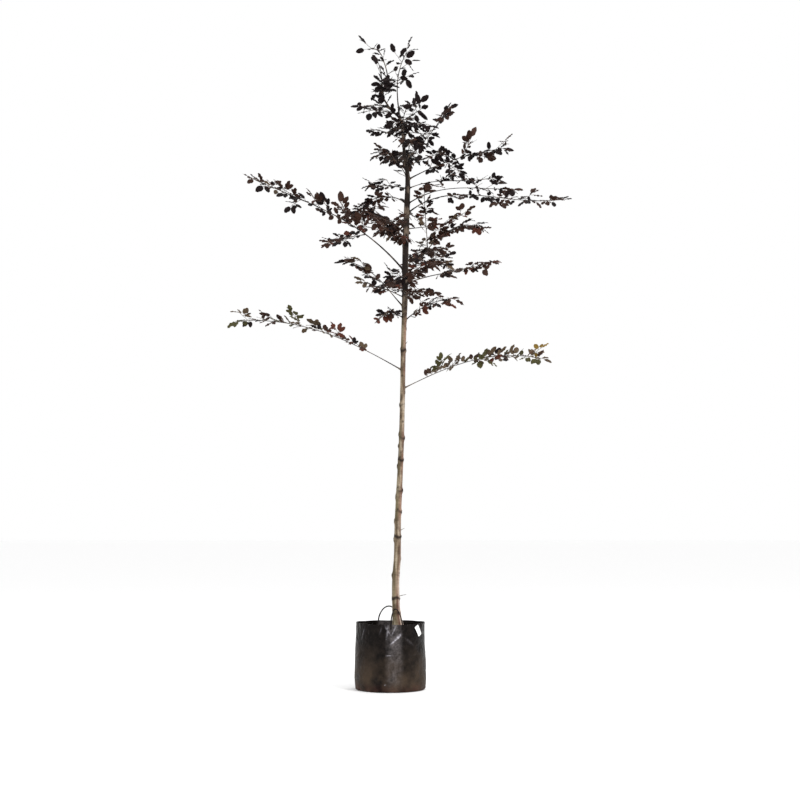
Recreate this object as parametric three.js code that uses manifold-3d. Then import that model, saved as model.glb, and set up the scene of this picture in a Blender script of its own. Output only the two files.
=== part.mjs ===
// A young copper beech: one clear stem with a light, tiered crown, standing in a filled black film bag.
// Millimetres, +Z up. The origin is the centre of the bag's flat underside; +X is the tree's right and +Y its
// back.
import * as THREE from "three";
import { mergeVertices } from "three/addons/utils/BufferGeometryUtils.js";
import Module from "manifold-3d";

const wasm = await Module();
wasm.setup();

// ---------------------------------------------------------------- driving dimensions

const GAP = 0.3; // clearance between neighbouring pieces

// The bag: radius and height up the outside of its wall, from the flat underside to the rim.
const WALL = [[176, 0], [188, 8], [192, 60], [190.5, 150], [186.5, 252], [184.5, 356]];
const FILM = 2; // the bag's film, doubled at its seams
const BAG_SIDES = 26;
const RIM = 356; // height of the rim
const SOIL_TOP = 329; // height of the compost in the bag

// Carrying handles: a flat strap looped up from the rim, one at the back and one at the front.
const STRAP = { wide: 7, thick: 2, grip: 26, steps: 12 };
const HANDLES = [
  { name: "handle_back", bearing: 93, span: 116, rise: 80, lean: 12 },
  { name: "handle_front", bearing: 281, span: 66, rise: 82, lean: 24 },
];

// The blank tag, a slanted strip that lies on the bag's wall just under the rim.
const TAG = { wide: 28, long: 58, thick: 1, middle: 320, bearing: -38, slant: 30, steps: 3 };

// The stem: x, y, height and radius from just under the ground to the tip of the leader.
const STEM = [
  [41, 0, 313, 32],
  [34, 1, 386, 24],
  [30, 2, 448, 20.6],
  [29, 6, 582, 19.4],
  [38, 8, 717, 19.2],
  [41, 6, 906, 17.6],
  [53, 0, 1166, 14.6],
  [60, -6, 1340, 14],
  [65, -9, 1530, 13.8],
  [68, -8, 1722, 13.8],
  [72, -3, 1916, 13.6],
  [79, 4, 2138, 13.6],
  [81, 9, 2361, 13.2],
  [88, 9, 2585, 12.4],
  [94, 5, 2791, 10.6],
  [77, 0, 2920, 8.8],
  [56, -4, 3105, 6.2],
  [2, -3, 3173, 5.2],
  [-37, 1, 3236, 4.4],
  [-45, 4, 3283, 3.9],
  [-18, 3, 3362, 3.2],
  [-45, -2, 3468, 2.4],
  [-68, -6, 3507, 2],
];
const STEM_SIDES = 8;
const STEM_STEP = 150; // height between two rings of the stem where it runs plain
const STEM_ENDS = [488, 2888]; // below and above these heights every station has a ring
const RING_LEAST = 9; // two rings stand no closer than this
const STEM_SAMPLES = 160; // straight stretches that the stem is measured by
const KNOTS = [406, 488, 608, 824, 954, 1063, 1226, 1351, 1530, 1831]; // heights of old pruning scars
const KNOT = { swell: 2.3, reach: 13, foot: 1.5 };
const STUBS = [
  { at: 493, bearing: 12, long: 58, lift: 16 },
  { at: 844, bearing: -25, long: 40, lift: 24 },
  { at: 1846, bearing: 8, long: 22, lift: 34 },
];
const STUB = { root: 2.6, tip: 1.4, sides: 4 };

// Boughs, the stalks that run on from them through a mass, and the twigs along a stalk. Angles are degrees.
const CURVE_ARM = 0.38; // how far a branch holds its first and last direction, as a share of its length
const BOUGH = { sides: 5, steps: 5, tip: 0.62 };
const STALK = { sides: 3, step: 140, root: 2.8, shoot: 2.2, tip: 1.7, leafy: 0.56 };
const TWIG = { step: 84, fork: 0.66, tip: 0.8, least: 34, shorten: 0.5, leafy: 0.9 };
const TWIG_WAYS = {
  place: [0.35, 0.75], turn: [36, 62], roll: [-35, 60], size: [0.72, 1.12], curl: [-0.22, 0.12],
};
const TWIG_CHECKS = [0.4, 0.7, 1]; // places on a twig that have to stay in its mass's own space

// Leaves: two in three of the tree's own, and larger by the same measure.
const LEAF = {
  long: 78, wide: 0.7, thick: 2.6, middle: 0.45, step: 28, sink: 0.3, tipSink: 1.5, last: 0.7, crowd: 0.34,
};
const LEAF_WAYS = {
  ahead: [-18, 18], turn: [38, 66], droop: [-0.15, 0.55], roll: [-72, 72], size: [0.78, 1.14],
};
// Places on a leaf that have to stay there too: shares of its length along it, and of its half width across.
const LEAF_CHECKS = [
  [0.12, 0], [0.25, 0.55], [0.25, -0.55], [0.45, 1], [0.45, -1], [0.45, 0.5],
  [0.45, -0.5], [0.7, 0.55], [0.7, -0.55], [0.75, 0], [1, 0],
];

// A mass's own space: nearer to its own stalks than to any other mass's, each measured by its spread.
const OWN = 1.02; // how much nearer, at the least
const APART = 0.01; // and by what difference, at the least
const LIMB_CLEAR = 3; // what a twig or leaf keeps from the stem and the boughs

// Every side branch, from the ground up: the height of its foot on the stem, its compass bearing (0 is the
// tree's right, 90 its back), how far out and how high its last leaf's point lies, how steeply it leaves and
// ends, and the half width of its leafy spray. close tells how much closer its twigs stand than the rest,
// bare the share of it that is a leafless bough, with its girth there, and shoot a fork of the spray.
const BRANCHES = [
  { name: "low_right", at: 1619, bearing: 12, reach: 843, lift: 178, climb: 27, fall: -8,
    spread: 130, close: 0.6, bare: 0.1, girth: 3.3 },
  { name: "low_left", at: 1718, bearing: 189, reach: 947, lift: 255, climb: 29, fall: -3,
    spread: 125, close: 0.62, bare: 0.16, girth: 3.4 },
  { name: "last_right", at: 1993, bearing: 7, reach: 316, lift: 139, climb: 42, fall: 8,
    spread: 90, close: 1.3 },
  { name: "pad_left", at: 2010, bearing: 222, reach: 205, lift: -38, climb: 18, fall: -40,
    spread: 110, close: 1.5 },
  { name: "red_left", at: 2065, bearing: 187, reach: 367, lift: 259, climb: 46, fall: 10,
    spread: 115, close: 1.3, bare: 0.2, girth: 4.2 },
  { name: "back_low", at: 2084, bearing: 98, reach: 640, lift: 225, climb: 45, fall: 5,
    spread: 130, close: 0.9 },
  { name: "pad_right", at: 2109, bearing: 307, reach: 235, lift: 30, climb: 30, fall: -5,
    spread: 100, close: 1.5 },
  { name: "hedge_left", at: 2121, bearing: 140, reach: 307, lift: 99, climb: 25, fall: 8,
    spread: 110, close: 1.3 },
  { name: "knot_front", at: 2182, bearing: 294, reach: 570, lift: 40, climb: 35, fall: -12,
    spread: 130, close: 1.1 },
  { name: "lower_right", at: 2198, bearing: 15, reach: 547, lift: 166, climb: 24, fall: 22,
    spread: 85, bare: 0.3, girth: 4 },
  { name: "fork_right", at: 2228, bearing: 11, reach: 484, lift: 290, climb: 54, fall: -14,
    spread: 105, close: 0.95, bare: 0.32, girth: 4.6,
    shoot: { from: 0.04, bearing: 106, reach: 64, lift: 400, climb: 82, fall: 88 } },
  { name: "long_left", at: 2265, bearing: 188, reach: 876, lift: 508, climb: 50, fall: 22,
    spread: 135, close: 0.85, bare: 0.26, girth: 5.2,
    shoot: { from: 0.06, bearing: 196, reach: 250, lift: -75, climb: -14, fall: -24 } },
  { name: "knot_back", at: 2278, bearing: 66, reach: 540, lift: 185, climb: 40, fall: 0,
    spread: 130, close: 1.2 },
  { name: "plume_front", at: 2426, bearing: 249, reach: 400, lift: -5, climb: 26, fall: -14,
    spread: 130, close: 1.4 },
  { name: "plume_back", at: 2465, bearing: 124, reach: 640, lift: 245, climb: 42, fall: 8,
    spread: 155, close: 1.1 },
  { name: "twig_right", at: 2504, bearing: 346, reach: 366, lift: 100, climb: 4, fall: 34,
    spread: 75, bare: 0.3, girth: 2.8 },
  { name: "long_right", at: 2588, bearing: 9, reach: 931, lift: 123, climb: 42, fall: 10,
    spread: 110, close: 0.7, bare: 0.1, girth: 4.6 },
  { name: "fine_right", at: 2639, bearing: 354, reach: 624, lift: 70, climb: 34, fall: -2,
    spread: 90, bare: 0.3, girth: 3.4 },
  { name: "hook_left", at: 2639, bearing: 149, reach: 320, lift: 24, climb: 42, fall: -18,
    spread: 95, close: 1.3 },
  { name: "level_left", at: 2723, bearing: 195, reach: 263, lift: 8, climb: 12, fall: 0,
    spread: 95, close: 1.3 },
  { name: "flat_right", at: 2723, bearing: 342, reach: 539, lift: 35, climb: 20, fall: 8,
    spread: 95, close: 1.2, bare: 0.12, girth: 3.2 },
  { name: "steep_left", at: 2756, bearing: 236, reach: 235, lift: 150, climb: 74, fall: 25,
    spread: 105, close: 1.6 },
  { name: "fan_right", at: 2778, bearing: 7, reach: 585, lift: 205, climb: 30, fall: 12,
    spread: 130, close: 0.9, bare: 0.14, girth: 4.2 },
  { name: "mid_back", at: 2824, bearing: 97, reach: 440, lift: 200, climb: 50, fall: 5,
    spread: 115, close: 1.3 },
  { name: "short_right", at: 2840, bearing: 328, reach: 280, lift: 72, climb: 32, fall: 12,
    spread: 95, close: 1.4 },
  { name: "mid_front", at: 2850, bearing: 276, reach: 390, lift: 55, climb: 45, fall: -12,
    spread: 120, close: 1.4 },
  { name: "fray_left", at: 2870, bearing: 150, reach: 224, lift: 80, climb: 22, fall: 6,
    spread: 100, close: 1.5 },
  { name: "tall_right", at: 2894, bearing: 13, reach: 269, lift: 345, climb: 42, fall: 58,
    spread: 90, close: 1.2, bare: 0.36, girth: 3 },
  { name: "dense_right", at: 2956, bearing: 26, reach: 215, lift: 110, climb: 45, fall: 8,
    spread: 95, close: 1.8 },
  { name: "dense_front", at: 2987, bearing: 289, reach: 330, lift: 30, climb: 45, fall: -8,
    spread: 110, close: 1.7 },
  { name: "dense_back", at: 3015, bearing: 100, reach: 286, lift: 156, climb: 48, fall: 8,
    spread: 110, close: 1.6 },
  { name: "twig_left", at: 3003, bearing: 176, reach: 236, lift: 60, climb: 24, fall: 2,
    spread: 55, close: 1.1 },
  { name: "tuft_back", at: 3083, bearing: 76, reach: 237, lift: 160, climb: 45, fall: 10,
    spread: 100, close: 1.5 },
  { name: "leader_right", at: 3104, bearing: 40, reach: 78, lift: 450, climb: 104, fall: 55,
    spread: 90, close: 1.6, bare: 0.42, girth: 4.4 },
  { name: "tuft_right", at: 3060, bearing: 312, reach: 195, lift: 80, climb: 50, fall: 8,
    spread: 95, close: 1.8 },
  { name: "tuft_low", at: 3148, bearing: 150, reach: 230, lift: 28, climb: 10, fall: -8,
    spread: 75, close: 1.3 },
  { name: "tuft_left", at: 3174, bearing: 200, reach: 200, lift: -2, climb: 24, fall: -10,
    spread: 90, close: 1.6 },
  { name: "knob_back", at: 3256, bearing: 86, reach: 190, lift: 112, climb: 40, fall: 20,
    spread: 90, close: 1.5 },
  { name: "knob_front", at: 3278, bearing: 300, reach: 175, lift: 20, climb: 30, fall: 0,
    spread: 90, close: 1.8 },
  { name: "shoot_left", at: 3288, bearing: 160, reach: 62, lift: 225, climb: 84, fall: 62,
    spread: 75, close: 1.6 },
  { name: "leader_tip", at: 3500, bearing: 178, reach: 118, lift: 10, climb: 55, fall: -6,
    spread: 55, close: 1.8 },
];

// ---------------------------------------------------------------- seeded chance

const STRIDE = 1664525;
const OFFSET = 1013904223;
const WHOLE = 2 ** 32;
const WARM_UP = 5;
const FIRST_SEED = 201; // the first branch's own; the next have the numbers after it

// A row of numbers between 0 and 1 that one seed always gives again.
function seeded(seed) {
  let state = seed;
  const draw = () => {
    state = (Math.imul(state, STRIDE) + OFFSET) >>> 0;
    return state / WHOLE;
  };
  for (let i = 0; i < WARM_UP; i++) draw();
  return draw;
}

// ---------------------------------------------------------------- solids

const UP = new THREE.Vector3(0, 0, 1);
const BACK = new THREE.Vector3(0, 1, 0);
const radians = THREE.MathUtils.degToRad;
const mix = THREE.MathUtils.lerp;
const heading = (bearing) => new THREE.Vector3(Math.cos(radians(bearing)), Math.sin(radians(bearing)), 0);
const evenly = (steps) => Array.from({ length: steps + 1 }, (_, i) => i / steps);

// A closed geometry as a solid: shared corners merged, triangles without area dropped.
function solidOf(geometry) {
  geometry.deleteAttribute("normal");
  geometry.deleteAttribute("uv");
  const merged = mergeVertices(geometry, 1e-4);
  const corners = merged.index.array;
  const faces = [];
  for (let i = 0; i < corners.length; i += 3) {
    const [a, b, c] = corners.slice(i, i + 3);
    if (a !== b && b !== c && c !== a) faces.push(a, b, c);
  }
  return new wasm.Manifold(
    new wasm.Mesh({
      numProp: 3,
      vertProperties: new Float32Array(merged.attributes.position.array),
      triVerts: new Uint32Array(faces),
    }),
  );
}

// The largest body of a solid, without loose scraps.
function wholeOf(solid) {
  return solid.decompose().reduce((best, body) => (body.volume() > best.volume() ? body : best));
}

// A solid as a named mesh with a finish of its own.
function pieceOf(name, solid, color, roughness) {
  const { vertProperties, triVerts } = solid.getMesh();
  const geometry = new THREE.BufferGeometry();
  geometry.setAttribute("position", new THREE.BufferAttribute(vertProperties, 3));
  geometry.setIndex(new THREE.BufferAttribute(triVerts, 1));
  geometry.computeVertexNormals();
  const piece = new THREE.Mesh(geometry, new THREE.MeshStandardMaterial({ color, roughness, metalness: 0 }));
  piece.name = name;
  return piece;
}

// Moves every corner of a geometry to where the rule puts it.
function reshape(geometry, rule) {
  const spot = geometry.attributes.position;
  for (let i = 0; i < spot.count; i++) {
    const at = rule(spot.getX(i), spot.getY(i), spot.getZ(i));
    spot.setXYZ(i, at.x, at.y, at.z);
  }
  return geometry;
}

// The three directions at a place on a curve: along it, up from it and across it.
function frameAt(curve, along, side) {
  const ahead = curve.getTangent(along);
  const lift = new THREE.Vector3().crossVectors(ahead, side).normalize();
  const across = new THREE.Vector3().crossVectors(lift, ahead);
  return { ahead, lift, across };
}

// A limb: a cylinder bent along a curve, with a ring at each place in the list and a radius for each place.
function limb(curve, side, places, radiusAt, sides) {
  const last = places.length - 1;
  const shape = reshape(new THREE.CylinderGeometry(1, 1, 1, sides, last), (x, y, z) => {
    const along = places[Math.round((y + 0.5) * last)];
    const { lift, across } = frameAt(curve, along, side);
    const radius = radiusAt(along);
    return curve.getPoint(along).addScaledVector(lift, radius * x).addScaledVector(across, radius * z);
  });
  return solidOf(shape);
}

// Part of a longer curve, run straight between a few of its points, with the curve's own direction at each.
class Run extends THREE.Curve {
  constructor(whole, from, to, steps) {
    super();
    this.place = (t) => mix(from, to, t);
    this.whole = whole;
    this.points = evenly(steps).map((t) => whole.getPoint(this.place(t)));
  }
  getPoint(t, target = new THREE.Vector3()) {
    const last = this.points.length - 1;
    const i = Math.min(Math.floor(t * last), last - 1);
    return target.lerpVectors(this.points[i], this.points[i + 1], t * last - i);
  }
  getTangent(t, target) {
    return this.whole.getTangent(this.place(t), target);
  }
}

// ---------------------------------------------------------------- the bag, its compost, handles and tag

// Radius of the bag's outside at a height.
function wallRadius(height) {
  const i = Math.max(1, WALL.findIndex(([, z]) => z >= height));
  const [[r0, z0], [r1, z1]] = [WALL[i - 1], WALL[i]];
  return mix(r0, r1, (height - z0) / (z1 - z0));
}

// The outline of what lies inside the wall at a depth, from the axis along the floor and up to a height.
function inside(depth, top) {
  const side = WALL.map(([r, z]) => [r - depth, z + depth]).filter(([, z]) => z < top);
  return [[0, depth], ...side, [wallRadius(top) - depth, top]];
}

// A solid of revolution round the bag's axis.
function turned(outline) {
  const shape = new THREE.LatheGeometry(outline.map(([r, z]) => new THREE.Vector2(r, z)), BAG_SIDES);
  return solidOf(shape.rotateX(Math.PI / 2));
}

// A flat thing laid on the wall: across it, up it and out from it, leaning in over the rim by an angle.
function ontoWall(bearing, lean) {
  return (across, height, out) => {
    const over = Math.max(0, height - RIM) * Math.tan(radians(lean));
    const radius = wallRadius(Math.min(height, RIM)) + GAP + out - over;
    const turn = bearing + THREE.MathUtils.radToDeg(across / WALL[0][0]);
    return heading(turn).multiplyScalar(radius).setZ(height);
  };
}

// A carrying handle: a flat strap up the wall, round half an ellipse over the rim and down the wall again.
function handle({ bearing, span, rise, lean }) {
  const rings = STRAP.steps + 2;
  const strap = new THREE.BoxGeometry(1, 1, STRAP.thick, rings, 1, 1).translate(0, 0, STRAP.thick / 2);
  const onWall = ontoWall(bearing, lean);
  const bent = reshape(strap, (x, y, z) => {
    const ring = Math.round((x + 0.5) * rings);
    const turn = Math.PI * THREE.MathUtils.clamp((ring - 1) / STRAP.steps, 0, 1);
    const inset = y > 0 ? 0 : STRAP.wide;
    const height = ring % rings ? RIM + (rise - inset) * Math.sin(turn) : RIM - STRAP.grip;
    return onWall((inset - span / 2) * Math.cos(turn), height, z);
  });
  return solidOf(bent);
}

// The tag: a thin card bent to the wall and slanted across it.
function tag() {
  const card = new THREE.BoxGeometry(TAG.wide, TAG.long, TAG.thick, TAG.steps, TAG.steps, 1);
  card.translate(0, 0, TAG.thick / 2).rotateZ(radians(TAG.slant)).translate(0, TAG.middle, 0);
  return solidOf(reshape(card, ontoWall(TAG.bearing, 0)));
}

// ---------------------------------------------------------------- the stem

const stemCurve = new THREE.CatmullRomCurve3(
  STEM.map(([x, y, z]) => new THREE.Vector3(x, y, z)), false, "catmullrom", 0.5,
);
const STATIONS = STEM.length - 1;
const TOP = STEM[STATIONS][2];

// Where on the stem's curve a height lies.
function stemPlace(height) {
  const i = Math.max(1, STEM.findIndex((station) => station[2] >= height)) - 1;
  return (i + (height - STEM[i][2]) / (STEM[i + 1][2] - STEM[i][2])) / STATIONS;
}

// The stem's radius there: the stations' own, swollen at each knot.
function stemRadius(place) {
  const i = Math.min(Math.floor(place * STATIONS), STATIONS - 1);
  const share = place * STATIONS - i;
  const height = mix(STEM[i][2], STEM[i + 1][2], share);
  const plain = mix(STEM[i][3], STEM[i + 1][3], share);
  const swell = (knot) => KNOT.swell * Math.exp(-(((height - knot) / KNOT.reach) ** 2));
  return KNOTS.reduce((radius, knot) => radius + swell(knot), plain);
}

// Ring heights: even steps up the stem, every station of the foot and the leader, and three rings at a knot.
function stemRings() {
  const heights = [];
  for (let height = STEM[0][2]; height < TOP - STEM_STEP / 2; height += STEM_STEP) heights.push(height);
  for (const knot of KNOTS) heights.push(knot - KNOT.reach * KNOT.foot, knot, knot + KNOT.reach * KNOT.foot);
  const atEnd = (height) => height < STEM_ENDS[0] || height > STEM_ENDS[1];
  heights.push(...STEM.map((station) => station[2]).filter(atEnd));
  heights.sort((a, b) => a - b);
  return heights.filter((height, i) => i === 0 || height - heights[i - 1] > RING_LEAST).map(stemPlace);
}

const stemRingPlaces = stemRings();
const stemSolid = (extra) =>
  limb(stemCurve, BACK, stemRingPlaces, (place) => stemRadius(place) + extra, STEM_SIDES);
const stemClear = stemSolid(GAP);

// The ground that the stem's foot is cut flat by, a hair above the compost.
function ground() {
  const [x, y, , radius] = STEM[0];
  const size = 3 * radius;
  return solidOf(new THREE.BoxGeometry(size, size, size).translate(x, y, SOIL_TOP + GAP - size / 2));
}

// A dead stub left at a knot.
function stub({ at, bearing, long, lift }) {
  const foot = stemCurve.getPoint(stemPlace(at));
  const tip = foot.clone().addScaledVector(heading(bearing), long).addScaledVector(UP, lift);
  const radiusAt = (t) => mix(STUB.root, STUB.tip, t);
  return limb(new THREE.LineCurve3(foot, tip), heading(bearing + 90), evenly(1), radiusAt, STUB.sides);
}

// ---------------------------------------------------------------- the boughs and stalks

// A direction on a bearing that rises by an angle.
function slope(bearing, angle) {
  const rise = radians(angle);
  return heading(bearing).multiplyScalar(Math.cos(rise)).addScaledVector(UP, Math.sin(rise));
}

// A branch's centre line: it leaves its foot at the angle it climbs and comes to its end at the angle it ends
// with. The last leaf fills the rest of its reach.
function reachOut(foot, { bearing, reach, lift, climb, fall }) {
  const end = foot.clone().addScaledVector(heading(bearing), reach).addScaledVector(UP, lift);
  end.addScaledVector(slope(bearing, fall), -LEAF.long * LEAF.last);
  const arm = CURVE_ARM * end.distanceTo(foot);
  const first = foot.clone().addScaledVector(slope(bearing, climb), arm);
  const second = end.clone().addScaledVector(slope(bearing, fall), -arm);
  return new THREE.CubicBezierCurve3(foot, first, second, end);
}

// A stalk: part of a branch's curve from a place on it to its end, and the radius it starts with.
function stalkOn(path, from, bearing, radius) {
  const length = path.getLength() * (1 - from);
  const steps = Math.max(2, Math.round(length / STALK.step));
  return {
    curve: new Run(path, from, 1, steps),
    side: heading(bearing + 90),
    places: evenly(steps),
    length,
    radiusAt: (t) => mix(radius, STALK.tip, t),
  };
}

// Settles the bare bough of each branch, if it has one, and the stalks of its leafy part.
const branches = BRANCHES.map((row, i) => {
  const path = reachOut(stemCurve.getPoint(stemPlace(row.at)), row);
  const from = row.bare ? row.bare + GAP / path.getLength() : 0;
  const main = stalkOn(path, from, row.bearing, row.bare ? row.girth * BOUGH.tip : STALK.root);
  const stalks = [main];
  if (row.shoot) {
    const shootPath = reachOut(main.curve.getPoint(row.shoot.from), row.shoot);
    stalks.push(stalkOn(shootPath, 0, row.shoot.bearing, STALK.shoot));
  }
  const limbCurve = row.bare ? new Run(path, 0, row.bare, BOUGH.steps) : null;
  const limbRadius = (t) => row.girth * mix(1, BOUGH.tip, t);
  return { ...row, seed: FIRST_SEED + i, side: main.side, stalks, limbCurve, limbRadius };
});

function bough({ limbCurve, side, limbRadius }) {
  return wholeOf(limb(limbCurve, side, evenly(BOUGH.steps), limbRadius, BOUGH.sides).subtract(stemClear));
}

// ---------------------------------------------------------------- each mass's own space

const LIMBS = [
  evenly(STEM_SAMPLES).map((t) => ({ at: stemCurve.getPoint(t), radius: stemRadius(t) })),
  ...branches
    .filter((branch) => branch.limbCurve)
    .map(({ limbCurve, limbRadius }) =>
      evenly(BOUGH.steps).map((t) => ({ at: limbCurve.getPoint(t), radius: limbRadius(t) })),
    ),
];
const CORES = branches.map((branch) => branch.stalks.map((stalk) => stalk.curve.points));

const segment = new THREE.Line3();
const nearest = new THREE.Vector3();

// Distance from a point to the straight line between two others.
function distanceTo(point, start, end) {
  segment.set(start, end).closestPointToPoint(point, true, nearest);
  return nearest.distanceTo(point);
}

// Whether a point is clear of the stem and of every bough.
function clearOfLimbs(point) {
  return LIMBS.every((run) =>
    run.every((spot, i) => i === 0 || distanceTo(point, run[i - 1].at, spot.at) > spot.radius + LIMB_CLEAR),
  );
}

// How far a point lies from a mass's stalks, as a share of the mass's spread.
function shareOf(point, index) {
  const runs = CORES[index].map((run) => run.slice(1).map((end, i) => distanceTo(point, run[i], end)));
  return Math.min(...runs.flat()) / branches[index].spread;
}

// A mass's own space: nearer to its own stalks than to any other mass's, each measured by its spread.
function inOwnSpace(point, index) {
  const own = shareOf(point, index) * OWN;
  return branches.every((_, i) => i === index || shareOf(point, i) > own + APART);
}

const stays = (points, index) => points.every((point) => clearOfLimbs(point) && inOwnSpace(point, index));

// ---------------------------------------------------------------- twigs and leaves

// The seeded rule: a stalk carries twigs left and right by turns, and both carry leaves the same way.
function grow(branch, index) {
  const draw = seeded(branch.seed);
  const within = ([low, high]) => low + (high - low) * draw();

  // A leaf at every site from a twig's tip back; the leaf at the tip lies along the twig.
  const dress = (twig, leafy) => {
    const count = Math.max(1, Math.floor((twig.length * leafy) / LEAF.step));
    return Array.from({ length: count }, (_, i) => {
      const along = 1 - (i * LEAF.step) / twig.length;
      const { ahead, lift, across } = frameAt(twig.curve, along, twig.side);
      const turn = radians(i === 0 ? within(LEAF_WAYS.ahead) : within(LEAF_WAYS.turn) * (i % 2 ? 1 : -1));
      const droop = within(LEAF_WAYS.droop);
      const roll = radians(within(LEAF_WAYS.roll));
      const long = LEAF.long * within(LEAF_WAYS.size);
      const out = ahead.clone().multiplyScalar(Math.cos(turn)).addScaledVector(across, Math.sin(turn));
      out.addScaledVector(UP, -droop).normalize();
      const wide = new THREE.Vector3().crossVectors(out, lift).normalize().applyAxisAngle(out, roll);
      return { root: twig.curve.getPoint(along), out, wide, sink: i ? LEAF.sink : LEAF.tipSink, long };
    });
  };

  // The side twigs of a stalk, shorter towards its end.
  const fork = (stalk) => {
    const count = Math.max(2, Math.round((stalk.length * (branch.close ?? 1)) / TWIG.step));
    return Array.from({ length: count }, (_, i) => {
      const along = (i + within(TWIG_WAYS.place)) / count;
      const { ahead, lift, across } = frameAt(stalk.curve, along, stalk.side);
      const hand = i % 2 ? 1 : -1;
      const turn = radians(within(TWIG_WAYS.turn));
      const roll = radians(within(TWIG_WAYS.roll) * hand);
      const reach = branch.spread * (1 - TWIG.shorten * along) * within(TWIG_WAYS.size);
      const length = Math.max(TWIG.least, reach);
      const curl = within(TWIG_WAYS.curl);
      const sideways = across.clone().multiplyScalar(hand).applyAxisAngle(ahead, roll);
      const out = ahead.clone().multiplyScalar(Math.cos(turn)).addScaledVector(sideways, Math.sin(turn));
      const foot = stalk.curve.getPoint(along);
      const tip = foot.clone().addScaledVector(out, length).addScaledVector(UP, curl * length);
      const side = new THREE.Vector3().crossVectors(lift, out).normalize();
      const radius = TWIG.fork * stalk.radiusAt(along);
      const twig = { curve: new THREE.LineCurve3(foot, tip), side, length, radius };
      return { ...twig, leaves: dress(twig, TWIG.leafy) };
    });
  };

  const spots = ({ curve }) => TWIG_CHECKS.map((t) => curve.getPoint(t));
  const twigs = branch.stalks.flatMap(fork).filter((twig) => stays(spots(twig), index));
  const onStalks = branch.stalks.flatMap((stalk) => dress(stalk, STALK.leafy));
  return { twigs, leaves: [...onStalks, ...twigs.flatMap((twig) => twig.leaves)] };
}

// A leaf: a blade folded a little along its midrib. The midrib runs from the root, sunk in the twig, to the
// point; the two side corners lie under its middle, and the four make a closed solid of four faces.
function blade({ root, out, wide, sink, long }) {
  const face = new THREE.Vector3().crossVectors(wide, out);
  const start = root.clone().addScaledVector(out, -sink);
  return reshape(new THREE.TetrahedronGeometry(1), (x, y, z) =>
    z > 0
      ? start.clone().addScaledVector(out, x > 0 ? long : 0)
      : start.clone().addScaledVector(out, LEAF.middle * long).addScaledVector(face, -LEAF.thick)
        .addScaledVector(wide, (Math.sign(x) * LEAF.wide * long) / 2),
  );
}

// Places on a leaf that have to stay in the mass's own space.
function edge({ root, out, wide, long }) {
  return LEAF_CHECKS.map(([along, across]) =>
    root.clone().addScaledVector(out, along * long).addScaledVector(wide, (across * LEAF.wide * long) / 2),
  );
}

// A mass: its stalks, twigs and leaves as one solid.
function mass(branch, index) {
  const { twigs, leaves } = grow(branch, index);
  const stalks = branch.stalks.map(({ curve, side, places, radiusAt }) =>
    limb(curve, side, places, radiusAt, STALK.sides),
  );
  let solid = stalks.reduce((whole, stalk) => whole.add(stalk));
  for (const { curve, side, radius } of twigs) {
    solid = solid.add(limb(curve, side, evenly(1), (t) => radius * mix(1, TWIG.tip, t), STALK.sides));
  }
  const middles = [];
  for (const leaf of leaves) {
    const middle = leaf.root.clone().addScaledVector(leaf.out, leaf.long * LEAF.middle);
    const crowded = middles.some((other) => other.distanceTo(middle) < leaf.long * LEAF.crowd);
    if (crowded || !stays(edge(leaf), index)) continue;
    middles.push(middle);
    solid = solid.add(solidOf(blade(leaf)));
  }
  return wholeOf(branch.bare ? solid : solid.subtract(stemClear));
}

// ---------------------------------------------------------------- the tree in its bag

const stem = STUBS.reduce((solid, row) => solid.add(stub(row)), stemSolid(0)).subtract(ground());
const tree = new THREE.Group();
tree.add(pieceOf("bag", turned([[0, 0], ...WALL, ...inside(FILM, RIM).reverse()]), 0x2c2a29, 0.45));
tree.add(pieceOf("compost", turned([...inside(FILM + GAP, SOIL_TOP), [0, SOIL_TOP]]), 0x2f241d, 1));
for (const row of HANDLES) tree.add(pieceOf(row.name, handle(row), 0x262524, 0.5));
tree.add(pieceOf("tag", tag(), 0xf0f0ee, 0.6));
tree.add(pieceOf("stem", stem, 0x8f7d6a, 0.9));
branches.forEach((branch, index) => {
  if (branch.bare) tree.add(pieceOf("bough_" + branch.name, bough(branch), 0x4a3f39, 0.9));
  tree.add(pieceOf("leaves_" + branch.name, mass(branch, index), 0x3a2824, 0.6));
});

export default tree;
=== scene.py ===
"""A young copper beech, one clear stem with a light, tiered crown, in a filled black film bag.

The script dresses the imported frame: the film bag with its compost, straps and tag, the bark of the stem and
the boughs, and the twigs, buds and leaves that grow on from them.
"""
import bpy
import numpy as np
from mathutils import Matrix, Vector


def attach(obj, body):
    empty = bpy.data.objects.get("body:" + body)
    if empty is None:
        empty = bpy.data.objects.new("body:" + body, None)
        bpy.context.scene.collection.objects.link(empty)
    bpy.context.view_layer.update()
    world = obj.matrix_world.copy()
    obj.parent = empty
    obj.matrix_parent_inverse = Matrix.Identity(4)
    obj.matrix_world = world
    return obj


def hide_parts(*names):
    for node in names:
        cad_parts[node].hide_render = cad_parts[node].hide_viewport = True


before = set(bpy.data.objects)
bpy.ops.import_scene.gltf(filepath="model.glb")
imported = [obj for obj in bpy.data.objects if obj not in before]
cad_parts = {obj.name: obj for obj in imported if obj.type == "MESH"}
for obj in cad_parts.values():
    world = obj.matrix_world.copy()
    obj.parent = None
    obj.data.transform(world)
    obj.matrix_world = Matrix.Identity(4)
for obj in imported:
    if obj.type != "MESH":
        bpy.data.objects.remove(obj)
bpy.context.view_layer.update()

# ---------------------------------------------------------------- the studio
# A pale floor under an even pale light, a large soft lamp on each side, and a camera that stands eight metres
# off with its lens at 0.9 metres, tilted up a little so that it takes in the whole tree.

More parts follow.
